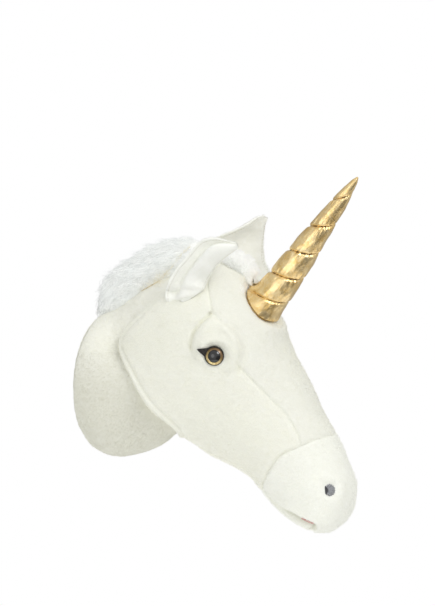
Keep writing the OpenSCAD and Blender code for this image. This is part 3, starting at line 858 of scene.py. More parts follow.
def fibre_mat(name, light, dark, wave=260.0, rough=0.7, sheen=0.15):
    m, nt, b = new_mat(name)
    v = coords(nt)
    f = noise(nt, v, wave, 3, 0.7, 0.3)
    c = mix(nt, dark, light, ramp(nt, f, [(0.32, (0, 0, 0)), (0.6, (1, 1, 1))]))
    nt.links.new(c, b.inputs["Base Color"])
    b.inputs["Roughness"].default_value = rough
    b.inputs["Specular IOR Level"].default_value = 0.2
    b.inputs["Sheen Weight"].default_value = sheen
    bump(nt, b, [(noise(nt, v, 2400, 2), 0.3, 0.0002)])
    tr = nt.nodes.new("ShaderNodeBsdfTranslucent")
    nt.links.new(c, tr.inputs["Color"])
    ms = nt.nodes.new("ShaderNodeMixShader")
    ms.inputs[0].default_value = 0.6
    nt.links.new(b.outputs[0], ms.inputs[1])
    nt.links.new(tr.outputs[0], ms.inputs[2])
    out = [n_ for n_ in nt.nodes if n_.type == "OUTPUT_MATERIAL"][0]
    nt.links.new(ms.outputs[0], out.inputs[0])
    return m


# ---------------------------------------------------------------- eyes
def thread_mat(name, light, dark, rough=0.5, metal=0.0):
    m, nt, b = new_mat(name)
    v = coords(nt)
    c = mix(nt, dark, light, ramp(nt, noise(nt, v, 900, 3, 0.6), [(0.35, (0, 0, 0)), (0.65, (1, 1, 1))]))
    nt.links.new(c, b.inputs["Base Color"])
    b.inputs["Roughness"].default_value = rough
    b.inputs["Metallic"].default_value = metal
    bump(nt, b, [(noise(nt, v, 3200, 2), 0.4, 0.0001)])
    return m


m, nt, b = new_mat("iris")
v = coords(nt)
c = mix(nt, (0.50, 0.33, 0.10), (0.95, 0.78, 0.36), ramp(nt, noise(nt, v, 420, 4, 0.65, 0.5), [(0.35, (0, 0, 0)), (0.62, (1, 1, 1))]))
# painted shade: the ring turns dark brown at its top and front, where the lid and lash shade it
sx = nt.nodes.new("ShaderNodeSeparateXYZ")
nt.links.new(v, sx.inputs[0])
iris_shade_z = math_node(nt, "MULTIPLY", math_node(nt, "SUBTRACT", 0.044, sx.outputs[2]), 45.0)
iris_shade_y = math_node(nt, "MULTIPLY", math_node(nt, "ADD", sx.outputs[1], 0.179), 30.0)
fac = math_node(nt, "ADD", math_node(nt, "ADD", iris_shade_z, iris_shade_y), 0.5)
c = mix(nt, (0.16, 0.085, 0.025), c, ramp(nt, fac, [(0.25, (0, 0, 0)), (0.8, (1, 1, 1))]))
nt.links.new(c, b.inputs["Base Color"])
b.inputs["Metallic"].default_value = 0.45
b.inputs["Roughness"].default_value = 0.3
b.inputs["Coat Weight"].default_value = 1.0
b.inputs["Coat Roughness"].default_value = 0.03
bump(nt, b, [(noise(nt, v, 900, 2), 0.15, 0.0001)])
M_IRIS = m
m, nt, b = new_mat("pupil")
v = coords(nt)
c = mix(nt, (0.004, 0.004, 0.004), (0.010, 0.009, 0.008), ramp(nt, noise(nt, v, 300, 2), [(0.3, (0, 0, 0)), (0.7, (1, 1, 1))]))
nt.links.new(c, b.inputs["Base Color"])
b.inputs["Roughness"].default_value = 0.06
b.inputs["Coat Weight"].default_value = 0.6
b.inputs["Coat Roughness"].default_value = 0.02
bump(nt, b, [(noise(nt, v, 500, 2), 0.02, 0.0001)])
M_PUPIL = m
m, nt, b = new_mat("lash_felt")
v = coords(nt)
c = mix(nt, (0.018, 0.016, 0.014), (0.05, 0.045, 0.04), ramp(nt, noise(nt, v, 700, 4, 0.7), [(0.4, (0, 0, 0)), (0.65, (1, 1, 1))]))
nt.links.new(c, b.inputs["Base Color"])
b.inputs["Roughness"].default_value = 0.95
bump(nt, b, [(noise(nt, v, 1500, 3, 0.7), 0.9, 0.0004)])
M_LASH = m

EYE_F = scad_frame((-74.8, -177.4, 44), 194.5, 88)
ez = EYE_F[1][:, 2]
NOS_F = scad_frame((-36.5, -301, -104.5), 219, 74)


def lathe(prof, n, fr, mirror, name, mat):
    prof = np.array(prof, float)
    a = np.arange(n) * 2 * math.pi / n
    V = np.stack([prof[:, None, 0] * np.cos(a), prof[:, None, 0] * np.sin(a), np.repeat(prof[:, None, 1], n, 1)], -1)
    k = len(prof)
    F = grid_faces(k, n)
    if not mirror:
        F = flip(F)
    F = F if mirror else F
    return mesh_obj(name, place(fr, V.reshape(-1, 3), mirror), F, mat)


def dome(r0, r1, z0, R, k):
    """Rows on a ball of radius R from r0 to r1, with the edge r0 at height z0."""
    r = np.linspace(r0, r1, k)
    return [[x, z0 + math.sqrt(R * R - x * x) - math.sqrt(R * R - r0 * r0)] for x in r]


def outline_r(phi):
    """Felt patch behind the eye: a disc with one pointed corner."""
    r = np.full(phi.shape, 11.0)
    tip = np.array([-7.4, -19.0])
    ft = math.atan2(tip[1], tip[0])
    d = (phi - ft + math.pi) % (2 * math.pi) - math.pi
    up = np.clip(1 - np.abs(d) / np.where(d < 0, 0.62, 0.52), 0, 1)
    return r + (np.linalg.norm(tip) - 10.9) * up ** 2.1


for side, mir in (("right", False), ("left", True)):
    lift = 0.9
    rim = [[9.2, -1.2 + lift], [9.75, -0.5 + lift], [9.8, 0.2 + lift], [9.5, 0.75 + lift]] + dome(9.3, 7.25, 0.95 + lift, 13.2, 7) + [[7.1, 1.9 + lift], [7.0, 1.6 + lift]]
    o = lathe(rim, 72, EYE_F, mir, "eye_iris_" + side, M_IRIS)
    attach(o, "root")
    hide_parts("eye_" + side)
    p = lathe([[7.05, 1.5 + lift]] + dome(7.05, 0.02, 2.05 + lift, 11.2, 24), 72, EYE_F, mir, "eye_pupil_" + side, M_PUPIL)
    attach(p, "root")
    ph = np.arange(120) * 2 * math.pi / 120
    rr = outline_r(ph)
    fr_ = np.array([0.0, 0.5, 0.72, 0.84, 0.92, 0.97, 1.0])
    loc = np.stack([fr_[:, None] * rr * np.cos(ph) - 0.5, fr_[:, None] * rr * np.sin(ph) - 0.3, np.zeros((7, 120))], -1).reshape(-1, 3)
    W = place(EYE_F, loc)
    drop = onto(head_tree, W, ez, 14, 2.0)
    drop = np.clip(drop, -6, 5)
    top = W - ez * (drop - 1.9)[:, None] + ez * (0.12 * vnoise(W, 3, 41))[:, None]
    bot = W - ez * (drop + 0.2)[:, None]
    edge = top.reshape(7, 120, 3)[-1] * 0.55 + bot.reshape(7, 120, 3)[-1] * 0.45 + 0.25 * (top.reshape(7, 120, 3)[-1] - top.reshape(7, 120, 3)[-2])
    V = np.concatenate([top.reshape(7, 120, 3), edge[None], bot.reshape(7, 120, 3)[::-1]], 0)
    F = grid_faces(V.shape[0], 120)
    V = V.reshape(-1, 3) * ((-1, 1, 1) if mir else (1, 1, 1))
    o = mesh_obj("eye_lash_felt_" + side, V, F if mir else flip(F), M_LASH)
    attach(o, "root")
    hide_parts("eye_felt_" + side)

# ---------------------------------------------------------------- nostrils: fans of satin stitch
M_FLOSS = thread_mat("floss", (0.58, 0.59, 0.61), (0.38, 0.385, 0.40), 0.45)
M_FLOSS_B = thread_mat("floss_shadow", (0.22, 0.224, 0.235), (0.12, 0.122, 0.13), 0.55)
# near-black colour for the nostril slits: painted shade
M_SLIT_SHADE = thread_mat("nostril_slit_shade", (0.05, 0.05, 0.055), (0.02, 0.02, 0.022), 0.6)
nz = NOS_F[1][:, 2]
for side, mir in (("right", False), ("left", True)):
    rg = np.random.default_rng(77)
    lines = []
    for k in range(30):
        q = (k / 29 * 2 - 1)
        a = q * 112 * RAD
        e = np.array([math.sin(a) * 6.4, math.cos(a) * 6.2 + 0.0]) * (1 + rg.normal() * 0.03 + (0.09 if k % 3 == 0 else -0.03))
        st = np.array([q * 3.4, -4.4 + 1.5 * (1 - q * q)])
        t = np.linspace(0, 1, 9)[:, None]
        xy = st * (1 - t) + e * t
        h = 0.1 + 0.85 * np.sin(np.pi * t[:, 0]) ** 0.6 + 0.2 * (k % 2)
        lines.append(np.stack([xy[:, 0], xy[:, 1], h], -1))
    lines = np.array(lines)
    flat = lines * (1, 1, 0)
    W = place(NOS_F, flat.reshape(-1, 3))
    drop = np.clip(onto(muz_tree, W, nz, 10, 0.0), -5, 5)
    W = (W - nz * drop[:, None] + nz * lines.reshape(-1, 3)[:, 2:3]).reshape(lines.shape)
    for tag, pick, mt, rad_ in (("a", np.arange(30) % 2 == 0, M_FLOSS, 0.40), ("b", np.arange(30) % 2 == 1, M_FLOSS_B, 0.34)):
        V, F = tubes(W[pick], rad_, 6)
        if mir:
            V = V * (-1, 1, 1)
            F = [flip(f) for f in F]
        o = mesh_obj("nostril_floss_" + tag + "_" + side, V, F, mt)
        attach(o, "root")
        if tag == "a":
            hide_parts("nostril_" + side)
    # the slit the threads run out of: a near-black sheet, painted shade inside the slit
    k = np.arange(40) * 2 * math.pi / 40
    rows = []
    for f_, h in ((0.02, 0.45), (0.4, 0.42), (0.75, 0.38), (1.0, 0.15), (1.1, -0.6)):
        rows.append(np.stack([4.6 * f_ * np.cos(k), -4.6 + 2.0 * f_ * np.sin(k) + 0.9 * (1 - (f_ * np.cos(k)) ** 2), h + 0 * k], -1))
    rows = np.array(rows)
    W = place(NOS_F, (rows * (1, 1, 0)).reshape(-1, 3))
    drop = np.clip(onto(muz_tree, W, nz, 10, 0.0), -5, 5)
    W = W - nz * drop[:, None] + nz * (rows.reshape(-1, 3)[:, 2:3] + 0.5)
    F = flip(grid_faces(5, 40))
    if mir:
        W = W * (-1, 1, 1)
        F = flip(F)
    o = mesh_obj("nostril_slit_" + side, W, F, M_SLIT_SHADE)
    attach(o, "root")

# ---------------------------------------------------------------- horn
HORN_R = [[-30, 22], [0, 22], [18, 21.8], [34, 20.2], [80, 16.8], [120, 13.2], [160, 9.2], [180, 6.4], [193, 3.2], [198, 1]]
PITCH, GAIN, T0 = 29.5, 1.5, 27.0
HX = np.array([1.0, 0, 0])
HY = np.array([0, math.sin(TILT), math.cos(TILT)])


def turns(t):
    return np.where(t > T0 - PITCH ** 2 / (4 * GAIN), (np.sqrt(np.maximum(PITCH ** 2 + 4 * GAIN * (t - T0), 1)) - PITCH) / (2 * GAIN), -4)


NTH = 232
H_OFF = np.array([-2.0, 4.0, 0.0])
hth = np.arange(NTH) * 2 * math.pi / NTH
# where the horn meets the skin, all the way round
meet = np.empty(NTH)
for k, a in enumerate(hth):
    o_ = HORN_P + HORN_D * 150 + (21.5 + 3.0 * (0.55 + 0.45 * math.sin(a))) * (math.cos(a) * HX + math.sin(a) * HY) + H_OFF
    loc, _, _, dist = head_tree.ray_cast(Vector(o_), Vector(-HORN_D), 400)
    meet[k] = 150 - dist if loc is not None else 10
ker = np.exp(-np.linspace(-2, 2, 41) ** 2)
ker /= ker.sum()
meet = np.convolve(np.concatenate([meet[-20:], meet, meet[:20]]), ker, "valid")
ext = 4.0 * bell(((hth - 155 * RAD + math.pi) % (2 * math.pi) - math.pi) / RAD, 62) + 1.5
meet = meet - ext
fr1 = np.concatenate([np.linspace(0, 0.06, 22)[:-1], np.linspace(0.06, 0.985, 380)[:-1], np.linspace(0.985, 1, 12)])
TT = (meet - 1.5)[None] * (1 - fr1[:, None]) + 198 * fr1[:, None]
TH2 = np.repeat(hth[None], len(fr1), 0)
R0 = np.interp(TT, [p[0] for p in HORN_R], [p[1] for p in HORN_R])
ph = turns(TT) - TH2 / (2 * math.pi) + 0.5
x = np.abs((ph % 1) - 0.5) * 2
on = smooth(TT, T0 - 16, T0 - 6)
cyl = np.stack([R0 * np.cos(TH2), R0 * np.sin(TH2), TT * 0.5], -1)
# tight little gathers that run along the horn out of each groove, and soft dents between
ang_s = np.stack([np.cos(TH2) * R0 * 1.15, np.sin(TH2) * R0 * 1.15, TT / 6.5], -1)
creases = np.abs(vnoise(ang_s, 3.4, 51)) * 0.9 + np.abs(vnoise(ang_s, 1.9, 52)) * 0.45
dents = vnoise(cyl, 7.5, 53) * 0.75 + vnoise(cyl, 4.0, 54) * 0.3
depth = np.minimum(2.2, R0 / 4)
RR = R0 + on * (0.05 * R0 * (1 - x ** 2.2) - depth * (np.maximum(x - 0.78, 0) / 0.22) ** 2)
RR = RR + np.minimum(1, R0 / 10) * (dents * (1 - 0.5 * x) - creases * (0.25 + 1.1 * x ** 2))
# the root is gathered and tucked under, puffing over its seam
v = TT - meet[None]
pleat = np.sin(TH2 * 23 + 1.3 * np.sin(TH2 * 4)) + 0.5 * np.sin(TH2 * 41 + 2)
RR = RR + 3.0 * bell(v - 6.5, 6.5) + 0.55 * pleat * bell(v - 3, 5)
RR = RR + 3.0 * (0.55 + 0.45 * np.sin(TH2)) * (1 - smooth(v, 2, 14))
RR = RR - 2.2 * np.clip(1 - v / 4.5, 0, 1.4) ** 2
RR = np.maximum(RR, 0.25)
C = HORN_P + HORN_D * TT[..., None] + H_OFF * (1 - smooth(TT, 4, 44))[..., None]
PO = C + RR[..., None] * (np.cos(TH2)[..., None] * HX + np.sin(TH2)[..., None] * HY)
low_rows = int(np.sum((TT - meet[None]).mean(1) < 17))
for i_ in range(low_rows):
    want = 2.8 * min(1.0, (i_ - 1.2) / 4.0)
    for j_ in range(NTH):
        p_ = Vector(PO[i_, j_])
        loc, nrm, _, dist = head_tree.find_nearest(p_)
        sd = dist if (p_ - loc).dot(nrm) > 0 else -dist
        if sd < want:
            PO[i_, j_] = np.array(loc + nrm * want)
m, nt, b = new_mat("lame")
v_ = coords(nt)
n1 = noise(nt, v_, 70, 3, 0.6, 0.5)
n2 = noise(nt, v_, 480, 3, 0.65, 1.0)
n3 = noise(nt, v_, 2600, 2, 0.6)
c = mix(nt, (0.80, 0.54, 0.20), (0.93, 0.72, 0.38), ramp(nt, n1, [(0.35, (0, 0, 0)), (0.65, (1, 1, 1))]))
c = mix(nt, c, (0.98, 0.86, 0.60), ramp(nt, n2, [(0.5, (0, 0, 0)), (0.72, (0.6, 0.6, 0.6))]))
nt.links.new(c, b.inputs["Base Color"])
b.inputs["Metallic"].default_value = 1.0
b.inputs["Roughness"].default_value = 0.31
bump(nt, b, [(n2, 0.35, 0.0007), (n3, 0.35, 0.00012)])
M_LAME = m
F = grid_faces(len(fr1), NTH)
capc = PO[-1].mean(0)[None] + HORN_D * 0.2
V = np.concatenate([PO.reshape(-1, 3), capc])
last = (len(fr1) - 1) * NTH
tri = np.stack([last + np.arange(NTH), last + (np.arange(NTH) + 1) % NTH, np.full(NTH, len(V) - 1)], -1)
horn = mesh_obj("horn_lame_cover", V, [F, tri], M_LAME)
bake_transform(horn)
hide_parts("horn_cover", "horn_stuffing")
# the thread wound into the grooves
ka = np.linspace(0.40 * 360, 1760, 900)
kt = ka / 360 - 0.5
ttv = T0 + PITCH * kt + GAIN * kt * kt
ttv = np.maximum(ttv, 12)
rr = np.interp(ttv, [p[0] for p in HORN_R], [p[1] for p in HORN_R])
rr = rr - np.minimum(2.2, rr / 4) - 0.35
L = HORN_P + HORN_D * ttv[:, None] + H_OFF * (1 - smooth(ttv, 4, 44))[:, None] + rr[:, None] * (np.cos(ka * RAD)[:, None] * HX + np.sin(ka * RAD)[:, None] * HY)
V, F = tubes([L], 0.5, 8)
M_CORDB = thread_mat("thread_brown", (0.13, 0.07, 0.03), (0.06, 0.03, 0.012), 0.6)
thr = mesh_obj("horn_thread_wound", V, F, M_CORDB)
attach(thr, "horn")
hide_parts("horn_thread")

# ---------------------------------------------------------------- ears
def resample(L, n):
    q = cr(L, np.linspace(0, len(L) - 1, 400))
    c = np.concatenate([[0], np.cumsum(np.linalg.norm(np.diff(q, axis=0), axis=1))])
    w = np.linspace(0, c[-1], n)
    return np.stack([np.interp(w, c, q[:, k]) for k in range(3)], -1)


# the ears' plush is a lighter copy of the head's: painted light that lifts the ears out of their shade
M_EAR_LIT = plush_mat("plush_ear_lit", (0.99, 0.99, 0.945), (0.972, 0.97, 0.915))
NEAR_RIM = [[-64, -137, 106], [-66, -126, 102], [-67, -117, 101], [-68, -114, 108], [-70, -117, 120], [-72, -124, 133],
            [-74, -134, 145], [-74, -144, 155], [-75, -153, 165], [-75, -162, 173], [-74, -174, 176], [-73, -188, 174],
            [-72, -198, 171.5], [-71.5, -203, 170]]
NEAR_FRONT = [[-64, -138, 107], [-63, -148, 110], [-60, -157, 116], [-61, -162, 125], [-63, -168, 134], [-65, -176, 144],
              [-67, -186, 152], [-69, -195, 158.5], [-70, -202, 163], [-70.5, -205, 166]]
FAR_REAR = [[42, -146, 97], [32, -135, 104], [28, -130, 113], [23, -124, 135], [20, -121, 151], [23, -125, 164], [31, -134, 173], [38, -147, 179],
            [46, -159, 185], [50, -169, 191], [54, -177, 196.5], [60, -184, 199]]
FAR_FRONT = [[54, -158, 91], [75, -171, 98], [91, -180, 111], [97, -182, 124], [92, -177, 133], [87, -174, 142], [85, -173, 152], [82, -173, 164], [77, -176, 176],
             [72, -179, 184], [68, -182, 189], [65.5, -186, 195.5]]
NEAR_CUP = [[0, 0], [0.08, 2.2], [0.2, 6], [0.35, 8.6], [0.47, 8.2], [0.54, 3.5], [0.62, -3], [0.74, -6.2], [0.87, -4], [1, 1.5]]
FAR_CUP = [[0, 2], [0.12, 2.2], [0.27, 0], [0.5, -5.5], [0.72, -5.5], [0.9, -1.5], [1, 2]]


def ear(front, rim, cup, face, side, thick, seed, lens=(0.34, 0.72)):
    NU, NV = 150, 110
    A, B = resample(front, NU), resample(rim, NU)
    if side == "right":
        # the root of the ear lies against the skin
        for L in (A, B):
            for k in range(NU):
                w_ = 1 - smooth(k / (NU - 1), 0.16, 0.55)
                if w_ > 0:
                    p_ = Vector(L[k])
                    d_ = (p_ - cam_pos * 1000).normalized()
                    loc, _, _, dist = head_tree.ray_cast(p_, d_, 60)
                    if loc is not None:
                        stem = 1 - smooth(k / (NU - 1), 0.01, 0.07)
                        L[k] += np.array(d_) * (min(max(dist - 6.0, 0), 24) * w_ * (1 - stem) + min(dist + 0.8, 30) * stem)
        ker_ = np.exp(-np.linspace(-2, 2, 17) ** 2)
        ker_ /= ker_.sum()
        for L in (A, B):
            for q_ in range(3):
                L[:, q_] = np.convolve(np.pad(L[:, q_], 8, "edge"), ker_, "valid")
    v = (1 - np.cos(np.linspace(0, math.pi, NV))) / 2
    u = np.linspace(0, 1, NU)
    face = np.array(face, float) / np.linalg.norm(face)
    prof = np.interp(np.linspace(0, 1, 401), [p[0] for p in cup], [p[1] for p in cup])
    kk = np.exp(-np.linspace(-2, 2, 65) ** 2)
    prof = np.convolve(np.pad(prof, 32, "edge"), kk / kk.sum(), "valid")
    h = np.interp(v, np.linspace(0, 1, 401), prof)
    sc = (0.1 + 0.9 * smooth(u, 0.02, lens[0])) * (1 - 0.8 * smooth(u, lens[1], 1))
    M = A[:, None] * (1 - v)[None, :, None] + B[:, None] * v[None, :, None] + face * (h[None] * sc[:, None])[..., None]
    Nn = grid_normals(M, False)
    if (Nn * face).sum(-1).mean() < 0:
        Nn = -Nn
    # the two edge curves meet at the tip, where the grid closes up
    wob = vnoise(M, 17, seed) * 0.8 + vnoise(M, 7, seed + 1) * 0.3 + vnoise(M, 3, seed + 2) * 0.12
    T = (thick * (1 - (2 * v - 1) ** 4) ** 0.5)[None] * (0.25 + 0.75 * (1 - smooth(u, 0.86, 1.0)))[:, None] + 0.6
    seam = 0.9 * bell((v - 0.045) / 0.012, 1.0) + 0.9 * bell((v - 0.955) / 0.012, 1.0)
    T = T - seam[None] * 0.7
    edge = ((1 - (2 * v - 1) ** 30) ** 0.5)[None, :, None]
    inn = M + Nn * ((T / 2 + wob * 0.8)[..., None] * edge)
    out_ = M - Nn * ((T / 2 + wob * 0.8)[..., None] * edge)
    objs = []
    F = grid_faces(NU, NV, False)
    e1, e2 = inn[1, 1] - inn[0, 1], inn[1, 2] - inn[1, 1]
    q = inn.reshape(-1, 3)[F[NV * 60 + 50]]
    nrm = np.cross(q[1] - q[0], q[2] - q[1])
    Fi = F if nrm @ face > 0 else flip(F)
    for nm, P, FF, nd, sl in (("ear_lining_cloth_" + side, inn, Fi, "ear_lining_" + side, "ear_lining"),
                              ("ear_outer_cloth_" + side, out_, flip(Fi), "ear_outer_" + side, "plush")):
        o = mesh_obj(nm, P.reshape(-1, 3), FF, M_EAR_LIT)
        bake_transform(o)
        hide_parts(nd)
        objs.append(o)
    return inn, out_, Nn, v, u


NE = ear(NEAR_FRONT, NEAR_RIM, NEAR_CUP, (-0.95, -0.1, 0.3), "right", 4.6, 61)
FE = ear(FAR_FRONT, FAR_REAR, FAR_CUP, (-0.6, -0.78, 0.15), "left", 4.6, 67)

# rows of stitching inside the edges of the ears
M_STITCH = thread_mat("stitch", (0.80, 0.79, 0.70), (0.66, 0.64, 0.54), 0.7)


def stitch_row(pts, nrm, lengths=2.6, gap=1.2, r=0.24, lift=0.12):
    c = np.concatenate([[0], np.cumsum(np.linalg.norm(np.diff(pts, axis=0), axis=1))])
    st = np.arange(0.5, c[-1] - lengths, lengths + gap)
    w = np.linspace(0, 1, 6)
    L = []
    for s0 in st:
        q = s0 + lengths * w
        p = np.stack([np.interp(q, c, pts[:, k]) for k in range(3)], -1)
        n = np.stack([np.interp(q, c, nrm[:, k]) for k in range(3)], -1)
        L.append(p + n * (lift + 0.15 * np.sin(np.pi * w))[:, None])
    return L


for side, E, bl in (("right", NE, ((-64, -133, 100), (-68, -142, 124))), ("left", FE, ((54, -151, 112), (56, -150, 135)))):
    inn, out_, Nn, v, u = E
    L = []
    for vv in (0.05, 0.085, 0.95):
        if side == "right" and vv == 0.085:
            continue
        j = int(np.argmin(np.abs(v - vv)))
        L += stitch_row(inn[4:-6, j], Nn[4:-6, j])
        L += stitch_row(out_[4:-6, j], -Nn[4:-6, j])
    V, F = tubes(L, 0.24, 5)
    o = mesh_obj("ear_stitches_" + side, V, F, M_STITCH)
    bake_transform(o)

# ---------------------------------------------------------------- mane and forelock
MANE = [[1, 79.5, 84, 9], [6, 84, 118, 12], [14, 87.5, 131, 14], [30, 95.5, 143, 15], [50, 109, 156, 16], [74, 124.5, 168, 16],
        [96, 133.5, 173, 16], [120, 137.5, 174, 16], [138, 146, 170, 14], [150, 149.5, 158, 8]]
TUFT = [[158, 148, 150.5, 5], [167, 146, 156, 11], [180, 139.5, 149, 12], [189, 131.5, 141, 9], [193, 126.5, 131, 4]]
M_MANE = fibre_mat("long_pile", (0.995, 0.995, 0.985), (0.96, 0.97, 0.965), 180, 0.65)
# the mane's hair glows a little: painted light that makes up for the shade the strands cast on each other
M_MANE.node_tree.nodes["Principled BSDF"].inputs["Emission Color"].default_value = (0.95, 0.97, 0.95, 1)
M_MANE.node_tree.nodes["Principled BSDF"].inputs["Emission Strength"].default_value = 0.10
M_MANE_C = plush_mat("long_pile_base", (0.94, 0.95, 0.93), (0.88, 0.90, 0.88))


def ridge(rows, n, m, clump, drop):
    q = cr(rows, np.linspace(0, len(rows) - 1, n))
    f = np.linspace(0, math.pi, m)
    x = q[:, 3:4] * np.cos(f)[None]
    z = q[:, 1:2] - 8.0 + (q[:, 2:3] - q[:, 1:2] - drop + 8.0) * np.sin(f)[None] ** 0.8
    P = np.stack([x, -q[:, 0:1] + 0 * x, z], -1)
    N = grid_normals(P, False)
    if (N[:, m // 2, 2]).mean() < 0:
        N = -N
    P = P + N * (vnoise(P, 17, 71) * 1.2 + vnoise(P, 8, 72) * clump)[..., None]
    return P, N, f


PMN, NMN, fm = ridge(MANE, 150, 90, 0.7, 4.5)
F = grid_faces(150, 90, False)
q = PMN.reshape(-1, 3)[F[90 * 70 + 45]]
if np.cross(q[1] - q[0], q[2] - q[1])[2] < 0:
    F = flip(F)
mane_core = mesh_obj("mane_backing", PMN.reshape(-1, 3), F, M_MANE_C)
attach(mane_core, "root")
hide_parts("mane_strip")
PT_, NT_, ft_ = ridge(TUFT, 60, 60, 0.8, 0.5)
F = grid_faces(60, 60, False)
q = PT_.reshape(-1, 3)[F[60 * 30 + 30]]
if np.cross(q[1] - q[0], q[2] - q[1])[2] < 0:
    F = flip(F)
tuft_core = mesh_obj("forelock_backing", PT_.reshape(-1, 3), F, M_MANE_C)
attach(tuft_core, "root")
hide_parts("forelock_tuft")


def locks(name, P, N, dens, seed, flow, lmin, lmax, width, segs, mat, keep=None, lay=0.30):
    keep = np.ones(P.shape[:2], bool) if keep is None else keep
    R_, NR = sample(P, N, keep, dens, seed, False)
    rg = np.random.default_rng(seed + 500)
    n = len(R_)
    d1 = flow(R_, NR)
    w1 = np.stack([vnoise(R_, 9.0, seed + 3), vnoise(R_, 9.0, seed + 4), vnoise(R_, 9.0, seed + 5)], -1)
    w2 = np.stack([vnoise(R_, 4.0, seed + 6), vnoise(R_, 4.0, seed + 7), vnoise(R_, 4.0, seed + 8)], -1)
    d1 = d1 + 0.42 * w1 + 0.25 * w2 + rg.normal(size=(n, 3)) * 0.07
    d0 = NR * lay * 2 + d1 * 0.7
    ln = lmin + (lmax - lmin) * np.clip(0.55 + 0.35 * vnoise(R_, 7, seed + 9) + 0.18 * rg.normal(size=n), 0, 1)
    ln = ln * (0.45 + 0.55 * smooth(R_[:, 2] - np.interp(-R_[:, 1], [r[0] for r in (MANE if name.startswith("mane") else TUFT)],
                                                          [r[1] for r in (MANE if name.startswith("mane") else TUFT)]), -2, 14))
    V, F = strands(R_, d0, d1 - NR * 0.10, ln, np.full(n, width) * rg.uniform(0.7, 1.2, n), segs, NR, 0.05, seed)
    V[:, 1] = np.minimum(V[:, 1], -0.5 - 1.5 * rg.uniform(size=len(V)) * (V[:, 1] > -1))
    o = mesh_obj(name, V, F, mat)
    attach(o, "root")
    return o


def mane_flow(R_, NR):
    back = np.interp(-R_[:, 1], [0, 14, 40, 150], [0.0, 0.35, 0.8, 0.95])
    side = np.sign(R_[:, 0]) * (0.10 + 0.30 * np.minimum(np.abs(R_[:, 0]) / 14, 1))
    down = -np.interp(-R_[:, 1], [0, 20, 60, 150], [0.9, 0.75, 0.6, 0.35]) * (0.35 + 0.65 * np.minimum(np.abs(R_[:, 0]) / 12, 1))
    return np.stack([side, back, down], -1)


um = -PMN[..., 1]
M_TUFT_GLOW = fibre_mat("forelock_pile_glow", (0.995, 0.995, 0.985), (0.97, 0.97, 0.96), 180, 0.65)
# the forelock's hair glows a little: painted light against the shade the strands cast on each other
M_TUFT_GLOW.node_tree.nodes["Principled BSDF"].inputs["Emission Color"].default_value = (0.97, 0.97, 0.95, 1)
M_TUFT_GLOW.node_tree.nodes["Principled BSDF"].inputs["Emission Strength"].default_value = 0.16
for nm, lo, hi in (("rear", -5, 42), ("middle", 42, 92), ("front", 92, 122), ("poll", 122, 170)):
    locks("mane_hair_" + nm, PMN, NMN, 2.1, 80 + int(hi), mane_flow, 7, 16, 0.42, 5, M_TUFT_GLOW if lo > 120 else M_MANE, (um >= lo) & (um < hi))
locks("mane_hair_long", PMN, NMN, 0.16, 95, mane_flow, 14, 23, 0.34, 6, M_MANE)


def tuft_flow(R_, NR):
    return np.stack([np.sign(R_[:, 0]) * 0.35 + R_[:, 0] * 0.03, -0.35 - 0 * R_[:, 0], 0.15 - 0 * R_[:, 0]], -1) + NR * 0.5


locks("forelock_hair", PT_, NT_, 3.2, 97, tuft_flow, 6, 14, 0.4, 5, M_TUFT_GLOW)

# ---------------------------------------------------------------- the foot of the mane: a tan cord along its seam and short tan strands in the fold by the ear's root, both painted shade
mane_tree = BVHTree.FromPolygons([Vector(p) for p in PMN.reshape(-1, 3)], [tuple(int(i) for i in f) for f in grid_faces(PMN.shape[0], PMN.shape[1], False)])


def seen_at(px, py, trees, flip_x=False):
    """The surface point (mm) on the line of sight through a picture position, and that line's direction."""
    d = (-BACK) * FP + CAM_R * (px - 217.5) + CAM_U * (303 - py)
    d.normalize()
    o_ = cam_pos * 1000
    if flip_x:
        d = Vector((-d.x, d.y, d.z))
        o_ = Vector((-o_.x, o_.y, o_.z))
    best = None
    for t_ in trees:
        loc, _, _, dist = t_.ray_cast(o_, d, 4000)
        if loc is not None and (best is None or dist < best[0]):
            best = (dist, loc)
    return (None if best is None else np.array(best[1])), np.array(d)


# tan cord colour: painted shade along the foot of the mane
M_SEAM_SHADE = thread_mat("mane_seam_shade", (0.70, 0.60, 0.40), (0.55, 0.45, 0.27), 0.75)
SEAM = np.array([[97.5, 313.5], [104, 310], [112, 307.5], [120, 303.5], [128, 299], [136, 294.5], [144, 289.5], [152, 285], [160, 280.5], [167, 277]])
ROOTS = np.array([[140, 291], [148, 287], [155, 283], [161, 279], [166, 275], [171, 268], [177, 260], [184, 252], [191, 246]])
w_ = np.linspace(0, 1, 120)
L = []
for fx in (False, True):
    row = []
    for a, b_ in zip(np.interp(w_, np.linspace(0, 1, len(SEAM)), SEAM[:, 0]), np.interp(w_, np.linspace(0, 1, len(SEAM)), SEAM[:, 1])):
        p, d = seen_at(a, b_, (neck_tree, head_tree), fx)
        if p is not None:
            row.append(p - d * 3.2)
    row = np.array(row)
    row[:, 1] = np.minimum(row[:, 1], -2.0)
    for q_ in range(3):
        row[:, q_] = np.convolve(np.pad(row[:, q_], 3, "edge"), np.ones(7) / 7, "valid")
    L.append(row)
for side, row in zip(("right", "left"), L):
    V, F = tubes([row], 0.6, 6)
    o = mesh_obj("mane_seam_edge_" + side, V, F, M_SEAM_SHADE)
    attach(o, "root")
rg = np.random.default_rng(733)
NRT = 300
w_ = np.clip(np.where(rg.uniform(size=NRT) < 0.5, rg.normal(0.34, 0.11, NRT), rg.uniform(0, 1, NRT)), 0, 1)
wide = 1.0 + 2.0 * bell(w_ - 0.36, 0.16)
gx = np.interp(w_, np.linspace(0, 1, len(ROOTS)), ROOTS[:, 0]) + rg.normal(size=NRT) * wide * 0.9
gy = np.interp(w_, np.linspace(0, 1, len(ROOTS)), ROOTS[:, 1]) + rg.normal(size=NRT) * wide * 0.9
